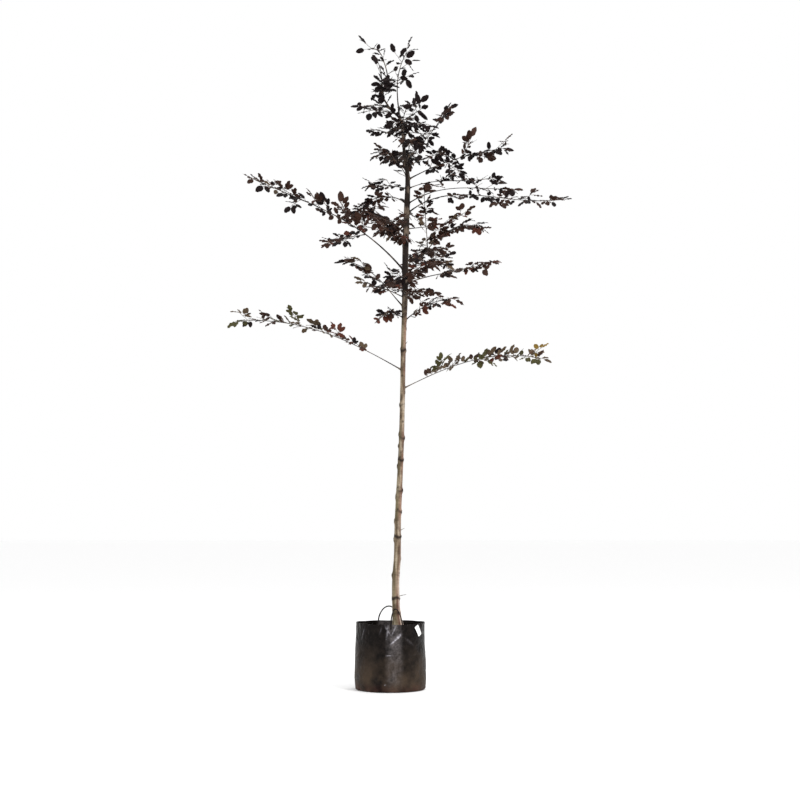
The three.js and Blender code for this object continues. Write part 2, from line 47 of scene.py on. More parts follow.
MM = 0.001  # the sizes in this script are millimetres, and the frame is in metres
FLOOR_HALF = 60000
FLOOR_COLOR = (0.975, 0.975, 0.975, 1)
SKY_COLOR = (1, 1, 1, 1)
CAMERA_PLACE = (0.052, -8.0, 0.9)  # metres
CAMERA_PITCH = 4.7017  # degrees above the horizon
CAMERA_LENS = 66.187
CAMERA_SEES = 200  # metres
# Each lamp: its place, the point it is aimed at and its side, in metres, and its watts.
LAMPS = {
    "key": ((4.2, -4.6, 5.2), (0.05, 0, 1.6), 2.4, 300),
    "fill": ((-5.0, -3.4, 2.6), (0.05, 0, 1.4), 2.6, 50),
    "rim": ((2.8, 4.6, 4.4), (0.05, 0, 2.0), 2.2, 110),
}


def lay(name, points, faces, uv=None, crisp=None, marks=None):
    """Puts points, in millimetres, and a list of face arrays, each with its own number of corners a face,
    into a mesh object at the origin. uv gives each point its place on the surface, crisp the angle past which
    an edge isn't smoothed over, and marks a number for each point by name."""
    corners = np.concatenate([group.reshape(-1) for group in faces]).astype(np.int32)
    sizes = np.concatenate([np.full(len(group), group.shape[1]) for group in faces])
    mesh = bpy.data.meshes.new(name)
    mesh.vertices.add(len(points))
    mesh.vertices.foreach_set("co", (points * MM).astype(np.float32).ravel())
    mesh.loops.add(len(corners))
    mesh.loops.foreach_set("vertex_index", corners)
    mesh.polygons.add(len(sizes))
    mesh.polygons.foreach_set("loop_start", (np.cumsum(sizes) - sizes).astype(np.int32))
    mesh.polygons.foreach_set("use_smooth", np.ones(len(sizes), bool))
    if uv is not None:
        mesh.uv_layers.new(name="surface").data.foreach_set("uv", uv[corners].astype(np.float32).ravel())
    for mark, values in (marks or {}).items():
        attribute = mesh.attributes.new(mark, "FLOAT", "POINT")
        attribute.data.foreach_set("value", values.astype(np.float32).ravel())
    mesh.update(calc_edges=True)
    if crisp is not None:
        mesh.set_sharp_from_angle(angle=np.radians(crisp))
    piece = bpy.data.objects.new(name, mesh)
    bpy.context.scene.collection.objects.link(piece)
    return piece


def fill(tree, node, inputs):
    """Fills a node's inputs with values or with other nodes' outputs."""
    for socket, value in inputs.items():
        if isinstance(value, bpy.types.NodeSocket):
            tree.links.new(value, node.inputs[socket])
        else:
            node.inputs[socket].default_value = value


def new_material(name):
    """A material with the shader that it starts with."""
    material = bpy.data.materials.new(name)
    material.use_nodes = True
    return material


def finished(material, **inputs):
    """The material, with its shader's inputs filled by their names."""
    named = {name.replace("_", " "): value for name, value in inputs.items()}
    fill(material.node_tree, material.node_tree.nodes["Principled BSDF"], named)
    return material


floor_corners = FLOOR_HALF * np.array([[-1, -1, 0], [1, -1, 0], [1, 1, 0], [-1, 1, 0]], float)
floor = lay("floor", floor_corners, [np.array([[0, 1, 2, 3]])])
floor_paint = new_material("pale_floor")
finished(floor_paint, Base_Color=FLOOR_COLOR, Roughness=0.9, Specular_IOR_Level=0.1)
floor.data.materials.append(floor_paint)

sky = bpy.data.worlds.new("sky")
bpy.context.scene.world = sky
sky.use_nodes = True
sky.node_tree.nodes["Background"].inputs["Color"].default_value = SKY_COLOR
bpy.context.scene.view_settings.view_transform = "Standard"

for name, (place, aim, side, watts) in LAMPS.items():
    lamp = bpy.data.lights.new(name, "AREA")
    lamp.size = side
    lamp.energy = watts
    lamp_object = bpy.data.objects.new(name, lamp)
    lamp_object.location = place
    lamp_object.rotation_euler = (Vector(aim) - Vector(place)).to_track_quat("-Z", "Y").to_euler()
    bpy.context.scene.collection.objects.link(lamp_object)

camera = bpy.data.cameras.new("camera")
camera.lens = CAMERA_LENS
camera.clip_end = CAMERA_SEES
camera_object = bpy.data.objects.new("camera", camera)
camera_object.location = CAMERA_PLACE
camera_object.rotation_euler = (np.radians(90 + CAMERA_PITCH), 0, 0)
bpy.context.scene.collection.objects.link(camera_object)
bpy.context.scene.camera = camera_object

# ---------------------------------------------------------------- the bag
# A bag of black polythene film, welded from lay-flat tube: two long folds at the front and two at the back
# keep the line that it was stored by. The rim is turned in and welded, and the filling swells the wall.

WALL = np.array([[176, 0], [188, 8], [192, 60], [190.5, 150], [186.5, 252], [184.5, 356]])  # radius, height
RIM = 356  # height of the rim
FILM = 1.5  # the film with its weld
BAG_COLUMNS = 360
WALL_ROWS = 122
WALL_FROM = 12  # height of the first of them
FLOOR_RADII = [14, 60, 110, 150, 170]
FOOT_ROUND = np.array([[176, 0], [181.5, 1.5], [185.6, 4.5], [188, 8]])  # radius and height round the foot
FOOT_EASE = 14  # height at which the film has its whole relief
HEM_DEEP = 12  # depth of the turned-in rim
HEM_PROUD = 0.9  # and how far it stands proud
FOLDS = [-99, -67, 79, 116]  # bearings of the long folds
FOLD_PROUD = 2.2
FOLD_HALF = 2.8
PANEL_FLAT = 3.6  # how far the panel between two folds is drawn flat
# Creases in the film: bearing and height where each starts and ends, how far it stands out, half width.
CREASES = [
    (-89, 252, -73, 300, 5.0, 5), (-82, 276, -72, 304, 3.6, 9), (-99, 42, -97, 41, 5.5, 3),
    (-91, 250, -97, 290, -3.0, 6), (-96, 198, -77, 197, -3.0, 3.5),
    (-97, 194, -88, 193.5, 3.4, 3), (-93, 352, -96, 280, 3.2, 5), (-87, 354, -84, 296, -3.4, 6),
    (-99, 350, -89, 300, 3.0, 4.5), (-80, 352, -87, 300, 3.2, 4.5), (-74, 350, -81, 306, -2.6, 5),
    (-103, 350, -108, 300, 2.2, 5), (-136, 342, -144, 276, 2.6, 4.5), (-128, 350, -133, 314, 2.0, 4),
    (-58, 186, -32, 194, -2.4, 5), (-46, 178, -28, 174, 2.0, 5), (-66, 286, -50, 246, 2.2, 7),
    (-40, 352, -36, 304, -2.0, 6), (-118, 142, -98, 120, 2.0, 8), (-84, 92, -60, 108, -2.0, 8),
    (-150, 86, -122, 58, 1.7, 8), (-104, 58, -80, 42, 1.9, 7), (-62, 30, -40, 56, -1.8, 7),
    (-122, 240, -104, 204, 2.0, 7), (-140, 190, -118, 204, -1.8, 7), (-56, 130, -38, 100, 1.9, 7),
    (-70, 160, -88, 134, 1.7, 7), (-112, 30, -98, 74, 1.7, 6), (-76, 60, -70, 24, 1.9, 6),
    (-116, 110, -108, 60, 1.6, 5), (-48, 96, -60, 60, 1.6, 6), (-92, 150, -82, 110, -1.6, 8),
    (92, 276, 108, 316, 2.6, 6), (96, 200, 118, 204, -2.0, 5), (84, 352, 88, 292, 2.4, 6),
    (112, 114, 138, 142, 1.8, 7), (60, 230, 40, 272, 2.0, 6), (150, 316, 162, 240, -1.9, 8),
    (176, 350, 170, 284, 2.0, 6), (10, 350, 4, 288, 2.2, 6), (22, 172, -4, 206, 1.8, 7),
    (-16, 114, 12, 88, -1.6, 8), (188, 162, 214, 198, 1.9, 7), (200, 344, 205, 288, 1.8, 5),
    (34, 60, 62, 86, 1.6, 7), (128, 56, 160, 42, 1.6, 7), (-170, 300, -156, 250, 2.0, 6),
    (-20, 300, -4, 262, 1.8, 6), (52, 330, 66, 290, 1.8, 6), (140, 250, 128, 190, 1.7, 6),
]
# Waves round the bag: how many there are, how fast they wind upwards, their phase and their depth.
RIM_WAVES = [(2, 0, 1.4, 1.7), (7, 0, 0.4, 0.8)]
PLEATS = [(17, 0, 0.3, 0.8), (29, 0, 1.9, 0.9), (47, 0, 4.0, 0.6), (71, 0, 2.2, 0.35)]
PLEAT_REACH = 46  # how far down from the rim the pleats die out
TUCKS = [(23, 0, 1.2, 0.9), (41, 0, 3.1, 0.6)]
TUCK_REACH = 26  # and the tucks up from the foot
SWELLS = [(2, 0.011, 0.4, 1.3), (3, -0.017, 2.0, 1.0), (5, 0.026, 3.7, 0.6), (9, -0.041, 1.1, 0.35)]
ARC = 188  # the radius that turns a bearing into a length on the wall
PANEL_SHEEN = 0.85  # painted sheen: how much paler the middle of a flat panel is painted, standing in for its reflection
PANEL_SHEEN_FROM = 60  # height from which the panel's painted sheen is that strong, and weaker below it
PANEL_SHEEN_LEAST = 0.3
GLINT_FROM = 2.0  # a crease that stands out less than this gets no painted glint
GLINT = 0.36  # share of painted glint for each millimetre past that
GLINT_HALF = 0.75  # how wide the painted glint line is, as a share of the crease
FILM_DUST = 0.26  # metres that the dust reaches up
FILM_BLACK = (20, 16, 14)
# the paler colour of the painted sheen on the flat panels
FILM_SHEEN = (72, 68, 68)
# the near-white colour of the painted glints along the creases
FILM_GLINT = (196, 192, 200)
DUST_BROWN = (82, 68, 55)
DUST_RED = (66, 36, 32)


def weave(rows, columns, closed=True):
    """Corner numbers of the quads of a grid whose points are numbered row by row. The last point of a row
    joins the first if the grid is closed. A face looks where its columns' way crosses its rows' way."""
    across = columns if closed else columns - 1
    row, column = np.meshgrid(np.arange(rows - 1), np.arange(across), indexing="ij")
    here = row * columns + column
    beside = row * columns + (column + 1) % columns
    return np.stack([here, beside, beside + columns, here + columns], -1).reshape(-1, 4)


def bell(away, reach=1):
    """A bell: e to the power of minus the square of the distance over the reach."""
    return np.exp(-((away / reach) ** 2))


def waves(rows, first, second):
    """A sum of waves, each with its rate along two ways, its phase and its depth."""
    return sum(deep * np.sin(rate * first + other * second + phase) for rate, other, phase, deep in rows)


def around(radius, bearing, height):
    """The point so far out on a bearing, in degrees, at a height."""
    angle = np.radians(bearing)
    return np.stack(np.broadcast_arrays(radius * np.cos(angle), radius * np.sin(angle), height), -1)


def wall_radius(height):
    """The wall's outside radius at a height, straight from one station to the next."""
    return np.interp(height, WALL[:, 1], WALL[:, 0])


def beside(turn, bearing, radius=ARC):
    """Length round a surface from a bearing to each turn, the short way."""
    return np.radians((turn - bearing + 180) % 360 - 180) * radius


def crease_share(turn, height, start_turn, start_height, end_turn, end_height, half):
    """How much of a straight crease is felt at a place: one on its line, falling off as a bell with the
    distance from it, and fading towards both its ends."""
    along = np.array([beside(end_turn, start_turn), end_height - start_height])
    place = np.stack([beside(turn, start_turn), height - start_height], -1)
    share = np.clip(place @ along / (along @ along), 0, 1)
    distance = np.linalg.norm(place - share[..., None] * along, axis=-1)
    return bell(distance, half) * (0.25 + 0.75 * np.sin(np.pi * share))


def panel_share(turn):
    """How much a bearing lies in a panel: one in the middle between two folds and nothing at the folds."""
    places = (beside(turn, first) / beside(last, first) for first, last in zip(FOLDS[::2], FOLDS[1::2]))
    return sum(np.sin(np.pi * np.clip(place, 0, 1)) ** 0.5 for place in places)


def film_relief(turn, height):
    """How far the film stands out from the plain wall: broad swells, plus pleats that die out down from the
    rim and tucks that die out up from the foot, plus the long folds, less the flat of the panels between
    them, plus each crease."""
    angle = np.radians(turn)
    relief = waves(SWELLS, angle, height)
    relief += waves(PLEATS, angle, height) * np.exp((height - RIM) / PLEAT_REACH)
    relief += waves(TUCKS, angle, height) * np.exp(-height / TUCK_REACH)
    relief += sum(FOLD_PROUD * bell(beside(turn, fold), FOLD_HALF) for fold in FOLDS)
    relief -= PANEL_FLAT * panel_share(turn)
    for *line, deep, half in CREASES:
        relief += deep * crease_share(turn, height, *line, half)
    return relief


def film_stand(turn, height):
    """How far the film's face lies outside the plain wall: its relief, which eases in above the foot, and
    near the rim the hem."""
    hem = HEM_PROUD * np.clip((height - RIM + HEM_DEEP) / 2, 0, 1)
    return np.clip(height / FOOT_EASE, 0, 1) * film_relief(turn, height) + hem


def bag_sheet():
    """The film as rings: out across the floor, round the foot and up the wall to the rim, which waves. A
    wall ring's radius is the wall's own, plus what the film's face stands out from it."""
    heights = np.concatenate([FOOT_ROUND[:, 1], np.linspace(WALL_FROM, RIM, WALL_ROWS)])
    turn, height = np.meshgrid(np.arange(BAG_COLUMNS) * 360 / BAG_COLUMNS, heights)
    foot = np.interp(height, FOOT_ROUND[:, 1], FOOT_ROUND[:, 0])
    radius = np.where(height < FOOT_ROUND[-1, 1], foot, wall_radius(height)) + film_stand(turn, height)
    height = height + waves(RIM_WAVES, np.radians(turn), 0) * (height / RIM) ** 6
    underside = np.repeat(np.array(FLOOR_RADII, float)[:, None], BAG_COLUMNS, 1)
    radius = np.concatenate([underside, radius])
    height = np.concatenate([np.zeros_like(underside), height])
    turn = np.repeat(turn[:1], len(radius), 0)
    return around(radius, turn, height), turn, height


def color(card):
    """A colour as a paint card gives it, 0 to 255, in the linear values that a shader takes."""
    card = np.array(card) / 255
    linear = np.where(card <= 0.04045, card / 12.92, ((card + 0.055) / 1.055) ** 2.4)
    return (*linear.tolist(), 1.0)


def add(tree, kind, inputs, output=0, **settings):
    """Adds a shader node, makes its settings, fills its inputs, and gives one of its outputs."""
    node = tree.nodes.new("ShaderNode" + kind)
    for setting, value in settings.items():
        setattr(node, setting, value)
    fill(tree, node, inputs)
    return node.outputs[output]


def begun(name):
    """A new material, and the place on the object, in metres, that its patterns read."""
    material = new_material(name)
    return material, add(material.node_tree, "TexCoord", {}, "Object")


def marked(spot, mark):
    """The number that a mark gives each point."""
    return add(spot.id_data, "Attribute", {}, "Fac", attribute_name=mark)


def noise(spot, size, detail):
    """Noise from 0 to 1, with so many grains to the metre."""
    return add(spot.id_data, "TexNoise", {"Vector": spot, "Scale": size, "Detail": detail})


def ramp(value, low=0.0, high=1.0, start=0.0, end=1.0):
    """A number between two others brought between two more."""
    ends = {"From Min": low, "From Max": high, "To Min": start, "To Max": end}
    return add(value.id_data, "MapRange", {0: value, **ends})


def worked(way, first, *others):
    """What a kind of sum makes of its numbers."""
    return add(first.id_data, "Math", dict(enumerate((first, *others))), operation=way)


def mixed(share, first, second):
    """The colour that lies between two colours by a share."""
    return add(share.id_data, "Mix", {0: share, 6: first, 7: second}, 2, data_type="RGBA")


def bumped(height, distance, **under):
    """The normal of a surface with a height in it, in metres, laid over another normal if one is given."""
    return add(height.id_data, "Bump", {"Height": height, "Strength": 1.0, "Distance": distance, **under})


def group_of(name, given, made):
    """A new shader group, the sockets it is given and the node it fills, each a colour, a vector or a number
    by name."""
    tree = bpy.data.node_groups.new(name, "ShaderNodeTree")
    for way, sockets in (("INPUT", given), ("OUTPUT", made)):
        for socket, kind in sockets.items():
            tree.interface.new_socket(socket, in_out=way, socket_type="NodeSocket" + kind)
    return tree, tree.nodes.new("NodeGroupInput").outputs, tree.nodes.new("NodeGroupOutput")


def unevenness():
    """A shader group for small unevenness: noise of a size lightens and darkens a colour by an amount, and
    the same noise comes out as a height."""
    sockets = {"Color": "Color", "Vector": "Vector", "Size": "Float", "Amount": "Float"}
    tree, given, made = group_of("small_unevenness", sockets, {"Color": "Color", "Height": "Float"})
    grain = noise(given["Vector"], given["Size"], 5.0)
    gain = worked("MULTIPLY_ADD", ramp(grain, 0.3, 0.7, -1.0, 1.0), given["Amount"], 1.0)
    shade = add(tree, "VectorMath", {0: given["Color"], "Scale": gain}, operation="SCALE")
    fill(tree, made, {"Color": shade, "Height": grain})
    return tree


def clinging_dust():
    """A shader group for dust that clings low down: a mask that is full at a low height, fades out to
    nothing at a high one, and is broken up by patches of noise."""
    sockets = {"Vector": "Vector", "Low": "Float", "High": "Float", "Size": "Float"}
    tree, given, made = group_of("clinging_dust", sockets, {"Mask": "Float"})
    height = add(tree, "SeparateXYZ", {0: given["Vector"]}, "Z")
    fade = ramp(height, given["Low"], given["High"], 1.0, 0.0)
    patch = ramp(noise(given["Vector"], given["Size"], 6.0), 0.34, 0.66)
    fill(tree, made, {"Mask": worked("MULTIPLY", fade, patch)})
    return tree


UNEVENNESS = unevenness()
CLINGING_DUST = clinging_dust()


def uneven(base, spot, size, amount):
    """A colour made a little uneven, and the height that goes with it."""
    inputs = {"Color": base, "Vector": spot, "Size": size, "Amount": amount}
    shade = add(spot.id_data, "Group", inputs, "Color", node_tree=UNEVENNESS)
    return shade, shade.node.outputs["Height"]


def dusty(spot, low, high, size):
    """The mask of the dust that clings between two heights, in metres."""
    inputs = {"Vector": spot, "Low": low, "High": high, "Size": size}
    return add(spot.id_data, "Group", inputs, node_tree=CLINGING_DUST)


def film_finish(name, dust_height):
    """Black film: a painted sheen, paler where the mesh is marked on its flat panels, and painted glints,
    near white where it is marked along the proudest creases, with brown dust low down, a redder line at the
    very foot, and fine crumpling. Dust dulls its shine."""
    material, spot = begun(name)
    # painted sheen: the flat panels between the folds are painted paler, standing in for their reflection
    base = mixed(marked(spot, "painted_sheen"), color(FILM_BLACK), color(FILM_SHEEN))
    base, crumple = uneven(base, spot, 42.0, 0.55)
    base, wrinkle = uneven(base, spot, 120.0, 0.4)
    dust = dusty(spot, -0.02, dust_height, 11.0)
    foot = dusty(spot, -0.01, 0.05, 24.0)
    base = mixed(ramp(dust, end=0.8), base, color(DUST_BROWN))
    base = mixed(ramp(foot, end=0.8), base, color(DUST_RED))
    # painted glints: the creases that stand out most are painted near white, broken up by noise
    broken = ramp(noise(spot, 90.0, 4.0), 0.4, 0.6, 0.25)
    painted_glint = worked("MULTIPLY", marked(spot, "painted_glint"), broken)
    base = mixed(painted_glint, base, color(FILM_GLINT))
    normal = bumped(wrinkle, 0.0012, Normal=bumped(crumple, 0.006))
    dulled = ramp(dust, start=0.3, end=0.75)
    return finished(material, Base_Color=base, Roughness=dulled, Specular_IOR_Level=0.06, Normal=normal)


def fit(piece, finish, slot, *nodes):
    """Gives a piece its finish and its body, and hides the nodes of the frame that it replaces. The slot is
    not used.
    """
    piece.data.materials.append(finish)
    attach(piece, "root")
    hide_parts(*nodes)


def thicken(piece, name, thickness):
    """Gives a sheet its thickness, inwards from its face."""
    wall = piece.modifiers.new(name, "SOLIDIFY")
    wall.thickness = thickness * MM
    wall.offset = -1


sheet, sheet_turn, sheet_height = bag_sheet()
# the panels' painted sheen, weaker near the foot
sheen_up = np.clip(sheet_height / PANEL_SHEEN_FROM, PANEL_SHEEN_LEAST, 1)
# painted glints along the proudest creases
painted_glint = sum(
    GLINT * (deep - GLINT_FROM) * crease_share(sheet_turn, sheet_height, *line, half * GLINT_HALF)
    for *line, deep, half in CREASES if deep > GLINT_FROM)
bag_marks = {"painted_sheen": PANEL_SHEEN * panel_share(sheet_turn) ** 2 * sheen_up, "painted_glint": np.clip(painted_glint, 0, 1)}
bag_faces = [weave(*sheet.shape[:2]), np.arange(BAG_COLUMNS)[None, ::-1]]
bag = lay("bag_film", sheet.reshape(-1, 3), bag_faces, marks=bag_marks)
thicken(bag, "film", FILM)
fit(bag, film_finish("black_film", FILM_DUST), "bag_film", "bag")

# ---------------------------------------------------------------- the compost
# Dark potting compost, fibre and fine bark, loosely levelled a thumb's width under the rim and heaped a
# little round the stem. Chips of bark lie on it.

UP = np.array([0.0, 0.0, 1.0])
SOIL_TOP = 329
SOIL_DEEP = 14  # thickness of the layer that is made
SOIL_SUNK = 2  # how far the middle of its lumps lies under its top
SOIL_CLEAR = 0.8  # between the layer's edge and the film
SOIL_MIDDLE = 4  # radius of the flat face in the middle
SOIL_COLUMNS = 220
SOIL_ROWS = 48
# Waves that cross: their rates along both ways, phase and depth.
LUMPS = [(0.055, 0.021, 0.3, 1.5), (-0.034, 0.071, 1.7, 1.3), (0.12, -0.09, 4.1, 0.9), (0.17, 0.15, 2.3, 0.7),
         (-0.31, 0.27, 0.9, 0.45), (0.45, 0.38, 3.0, 0.35)]
STEM_FOOT = (38, 0)  # where the stem stands in it
HEAP = 5.0
HEAP_REACH = 46
CHIPS = 240
CHIP_LONG = (5, 16)
CHIP_THICK = (1.2, 3.2)
CHIP_PLACES = np.array([-1, -0.3, 0.4, 1])  # of its rings, as shares of its half length
CHIP_GIRTHS = np.array([0.5, 1, 0.85, 0.35])  # and how thick it is there
CHIP_SIDES = 5
CHIP_SEED = 31
SOIL_DARK = (38, 29, 23)
SOIL_BROWN = (70, 53, 40)
CHIP_BROWN = (92, 70, 52)


def soil_height(x, y):
    """The compost's surface: waves in many directions as lumps, and a heap round the stem that falls off as a
    bell."""
    away = np.hypot(x - STEM_FOOT[0], y - STEM_FOOT[1])
    return SOIL_TOP - SOIL_SUNK + waves(LUMPS, x, y) + HEAP * bell(away, HEAP_REACH)


def soil_edge(bearing):
    """How far out the layer reaches on each bearing: the film's inner face, at its nearest to the middle in
    the layer's depth, less a clearance."""
    turn, height = np.meshgrid(bearing, SOIL_TOP + np.linspace(-SOIL_DEEP, SOIL_DEEP / 2, 9))
    return (wall_radius(height) + film_stand(turn, height)).min(0) - FILM - SOIL_CLEAR


def soil_layer():
    """The layer as rings: from the middle of its underside out to the wall, up, and back to the middle over
    the lumpy top."""
    bearing = np.arange(SOIL_COLUMNS) * 360 / SOIL_COLUMNS
    share = np.linspace(0, 1, SOIL_ROWS)[:, None]
    radius = SOIL_MIDDLE + share * (soil_edge(bearing) - SOIL_MIDDLE)
    under = around(radius[[0, -1]], bearing, SOIL_TOP - SOIL_DEEP)
    top = around(radius[::-1], bearing, 0.0)
    top[..., 2] = soil_height(top[..., 0], top[..., 1])
    return np.concatenate([under, top])


def heading(bearing):
    """The level direction on a compass bearing."""
    return around(1.0, bearing, 0.0)


def unit(vectors):
    """Each vector divided by its own length."""
    return vectors / np.linalg.norm(vectors, axis=-1, keepdims=True)


def capped(rows, columns):
    """The quads of a closed grid of rings, and a flat face over its first ring and over its last."""
    ring = np.arange(columns)
    return [weave(rows, columns), np.stack([ring[::-1], ring + (rows - 1) * columns])]


def copies(faces, count, points):
    """Face arrays repeated for a number of like bodies that have so many points each."""
    shift = np.arange(count)[:, None, None] * points
    return [(group[None] + shift).reshape(-1, group.shape[1]) for group in faces]


def tubes(paths, radii, sides, side):
    """Closed tubes along many paths at once, as points and faces. Square to each path stands a ring with the
    points path + radius * (cos(turn) * lift - sin(turn) * across), where lift is the path's direction crossed
    with the side, and across is lift crossed with that direction. paths is tubes x rings x 3, radii fits
    tubes x rings x sides, and side is one direction for each tube."""
    ahead = unit(np.gradient(paths, axis=1))
    lift = unit(np.cross(ahead, np.broadcast_to(side[:, None], paths.shape)))
    across = np.cross(lift, ahead)
    turn = np.arange(sides) * 2 * np.pi / sides
    out = np.cos(turn)[:, None] * lift[:, :, None] - np.sin(turn)[:, None] * across[:, :, None]
    points = paths[:, :, None] + radii[..., None] * out
    count, rings = paths.shape[:2]
    return points.reshape(-1, 3), copies(capped(rings, sides), count, rings * sides)


def bark_chips(chance):
    """The chips: short rods that lie on the surface every way, thickest near their middle and uneven."""
    edge = soil_edge(np.linspace(0, 360, SOIL_COLUMNS)).min() - CHIP_LONG[1]
    out = edge * np.sqrt(chance.uniform(0.02, 1, CHIPS))
    middle = around(out, chance.uniform(0, 360, CHIPS), 0.0)
    way = heading(chance.uniform(0, 360, CHIPS))
    half = chance.uniform(*CHIP_LONG, CHIPS) / 2
    paths = middle[:, None] + CHIP_PLACES[:, None] * (way * half[:, None])[:, None]
    paths[..., 2] = soil_height(paths[..., 0], paths[..., 1]) + chance.uniform(0.2, 1.4, (CHIPS, 1))
    girth = chance.uniform(*CHIP_THICK, (CHIPS, 1, 1)) * CHIP_GIRTHS[:, None]
    radii = girth * chance.uniform(0.7, 1.25, (CHIPS, len(CHIP_PLACES), CHIP_SIDES))
    return tubes(paths, radii, CHIP_SIDES, np.tile(UP, (CHIPS, 1)))


def grainy(base, spot, size, amount, deep):
    """What a plain finish has: a colour made uneven, and a relief of the same grain."""
    shade, grain = uneven(base, spot, size, amount)
    return {"Base_Color": shade, "Normal": bumped(grain, deep)}


def soil_finish(name, base, paler, size):
    """Compost or chips: two browns in crumbs, rough all over, with a grainy relief."""
    material, spot = begun(name)
    crumbs = add(spot.id_data, "TexVoronoi", {"Vector": spot, "Scale": size})
    shade = mixed(ramp(crumbs, start=0.9, end=-0.2), color(base), color(paler))
    grain = grainy(shade, spot, size * 0.6, 0.35, 0.004)
    return finished(material, Roughness=0.95, Specular_IOR_Level=0.15, **grain)


layer = soil_layer()
soil = lay("compost_fill", layer.reshape(-1, 3), capped(*layer.shape[:2]))
fit(soil, soil_finish("potting_compost", SOIL_DARK, SOIL_BROWN, 180.0), "compost", "compost")
chips = lay("compost_chips", *bark_chips(np.random.default_rng(CHIP_SEED)), crisp=30)
fit(chips, soil_finish("bark_chips", SOIL_BROWN, CHIP_BROWN, 90.0), "compost", "compost")

# ---------------------------------------------------------------- the straps
# Two carrying straps of doubled film, each looped up from the rim and down again, with its feet welded to the
# outside of the wall. Their long edges are sealed round.

GAP = 0.3  # between the wall and what lies on it
STRAP_WIDE = 7
STRAP_THICK = 2
STRAP_GRIP = 26  # how far the feet run down the wall
STRAP_FEET = 6  # rings down each foot
STRAP_RINGS = 72
STRAP_SIDES = 14
STRAP_TWIST = 0.7  # how far the strap strays from its loop
STRAP_DUST = 0.05
STRAPS = {
    "handle_back": dict(bearing=93, span=116, rise=80, lean=12),
    "handle_front": dict(bearing=281, span=66, rise=82, lean=24),
}


def on_wall(bearing, lean, across, height, out, stand=film_stand):
    """A point of something laid on the film: so far across a bearing, up the wall and out from the film's
    face, which itself stands out from the plain wall. Above the rim it leans in by an angle."""
    turn, height = np.broadcast_arrays(bearing + np.degrees(across / WALL[0, 0]), height)
    level = np.minimum(height, RIM)
    over = (height - level) * np.tan(np.radians(lean))
    return around(wall_radius(level) + stand(turn, level) + GAP + out - over, turn, height)


def blunted(wave):
    """A sine or cosine drawn towards a square wave by a root."""
    return np.sign(wave) * np.abs(wave) ** 0.6


def strap(bearing, span, rise, lean):
    """A strap as rings: up the wall, round half an ellipse and down the wall. Its section is a flat oval,
    drawn towards a rectangle."""
    foot = np.linspace(-STRAP_GRIP, 0, STRAP_FEET + 1)[:-1]
    turn = np.pad(np.linspace(0, np.pi, STRAP_RINGS), STRAP_FEET, "edge")[:, None]
    drop = np.concatenate([foot, np.zeros(STRAP_RINGS), foot[::-1]])[:, None]
    section = -np.arange(STRAP_SIDES) * 2 * np.pi / STRAP_SIDES
    inset = STRAP_WIDE / 2 * (1 + blunted(np.cos(section)))
    across = (inset - span / 2) * np.cos(turn)
    height = RIM + (rise - inset) * np.sin(turn) + drop
    stray = STRAP_TWIST * np.sin(turn) * (1 + np.sin(2.3 * turn + bearing))
    out = STRAP_THICK / 2 * (1 + blunted(np.sin(section))) + stray
    return on_wall(bearing, lean, across, height, out)


strap_film = film_finish("strap_film", STRAP_DUST)
for node, sizes in STRAPS.items():
    rings = strap(**sizes)
    piece = lay(node.replace("handle", "strap"), rings.reshape(-1, 3), capped(*rings.shape[:2]), crisp=50)
    fit(piece, strap_film, "handle_film", node)

# ---------------------------------------------------------------- the tag
# A blank card of white plastic, round at its corners and a little bowed, that lies aslant on the wall just
# under the rim.

TAG_WIDE = 28
TAG_LONG = 58
TAG_THICK = 0.8
TAG_MIDDLE = 320  # height of its middle
TAG_BEARING = -38
TAG_SLANT = 30
TAG_BOW = 0.8
TAG_CORNER = 0.09
TAG_WHITE = (240, 240, 237)


def tag_card():
    """The card as a grid: a rectangle whose corners are drawn in as the two ways' twentieth powers meet,
    slanted, then laid on the film's proudest place, with its middle bowed out."""
    x, y = np.meshgrid(*(np.sin(np.linspace(-1, 1, count) * np.pi / 2) for count in (21, 41)))
    corner = TAG_CORNER * (x**20) * (y**20)
    wide = TAG_WIDE / 2 * x * (1 - corner)
    long = TAG_LONG / 2 * y * (1 - corner * TAG_WIDE / TAG_LONG)
    slant = np.radians(TAG_SLANT)
    across = wide * np.cos(slant) - long * np.sin(slant)
    height = TAG_MIDDLE + wide * np.sin(slant) + long * np.cos(slant)
    out = TAG_THICK + TAG_BOW * (1 - y**2)
    return on_wall(TAG_BEARING, 0, across, height, out, lambda turn, level: film_stand(turn, level).max())


def plain_finish(name, base, size, amount, deep, **plain):
    """One colour with a fine grain, and the shader's plain values."""
    material, spot = begun(name)
    return finished(material, **grainy(color(base), spot, size, amount, deep), **plain)


card = tag_card()
tag = lay("tag_card", card.reshape(-1, 3), [weave(*card.shape[:2], closed=False)])
thicken(tag, "card", TAG_THICK)
white = plain_finish("white_card", TAG_WHITE, 260.0, 0.03, 0.0002, Roughness=0.5, Specular_IOR_Level=0.4)
fit(tag, white, "tag_card", "tag")

# ---------------------------------------------------------------- the stem
# One stem from its root flare to the tip of the leader, leaning as it grew. The young bark is smooth, swollen
# at old pruning scars, with a collar where each branch leaves and three dead stubs.

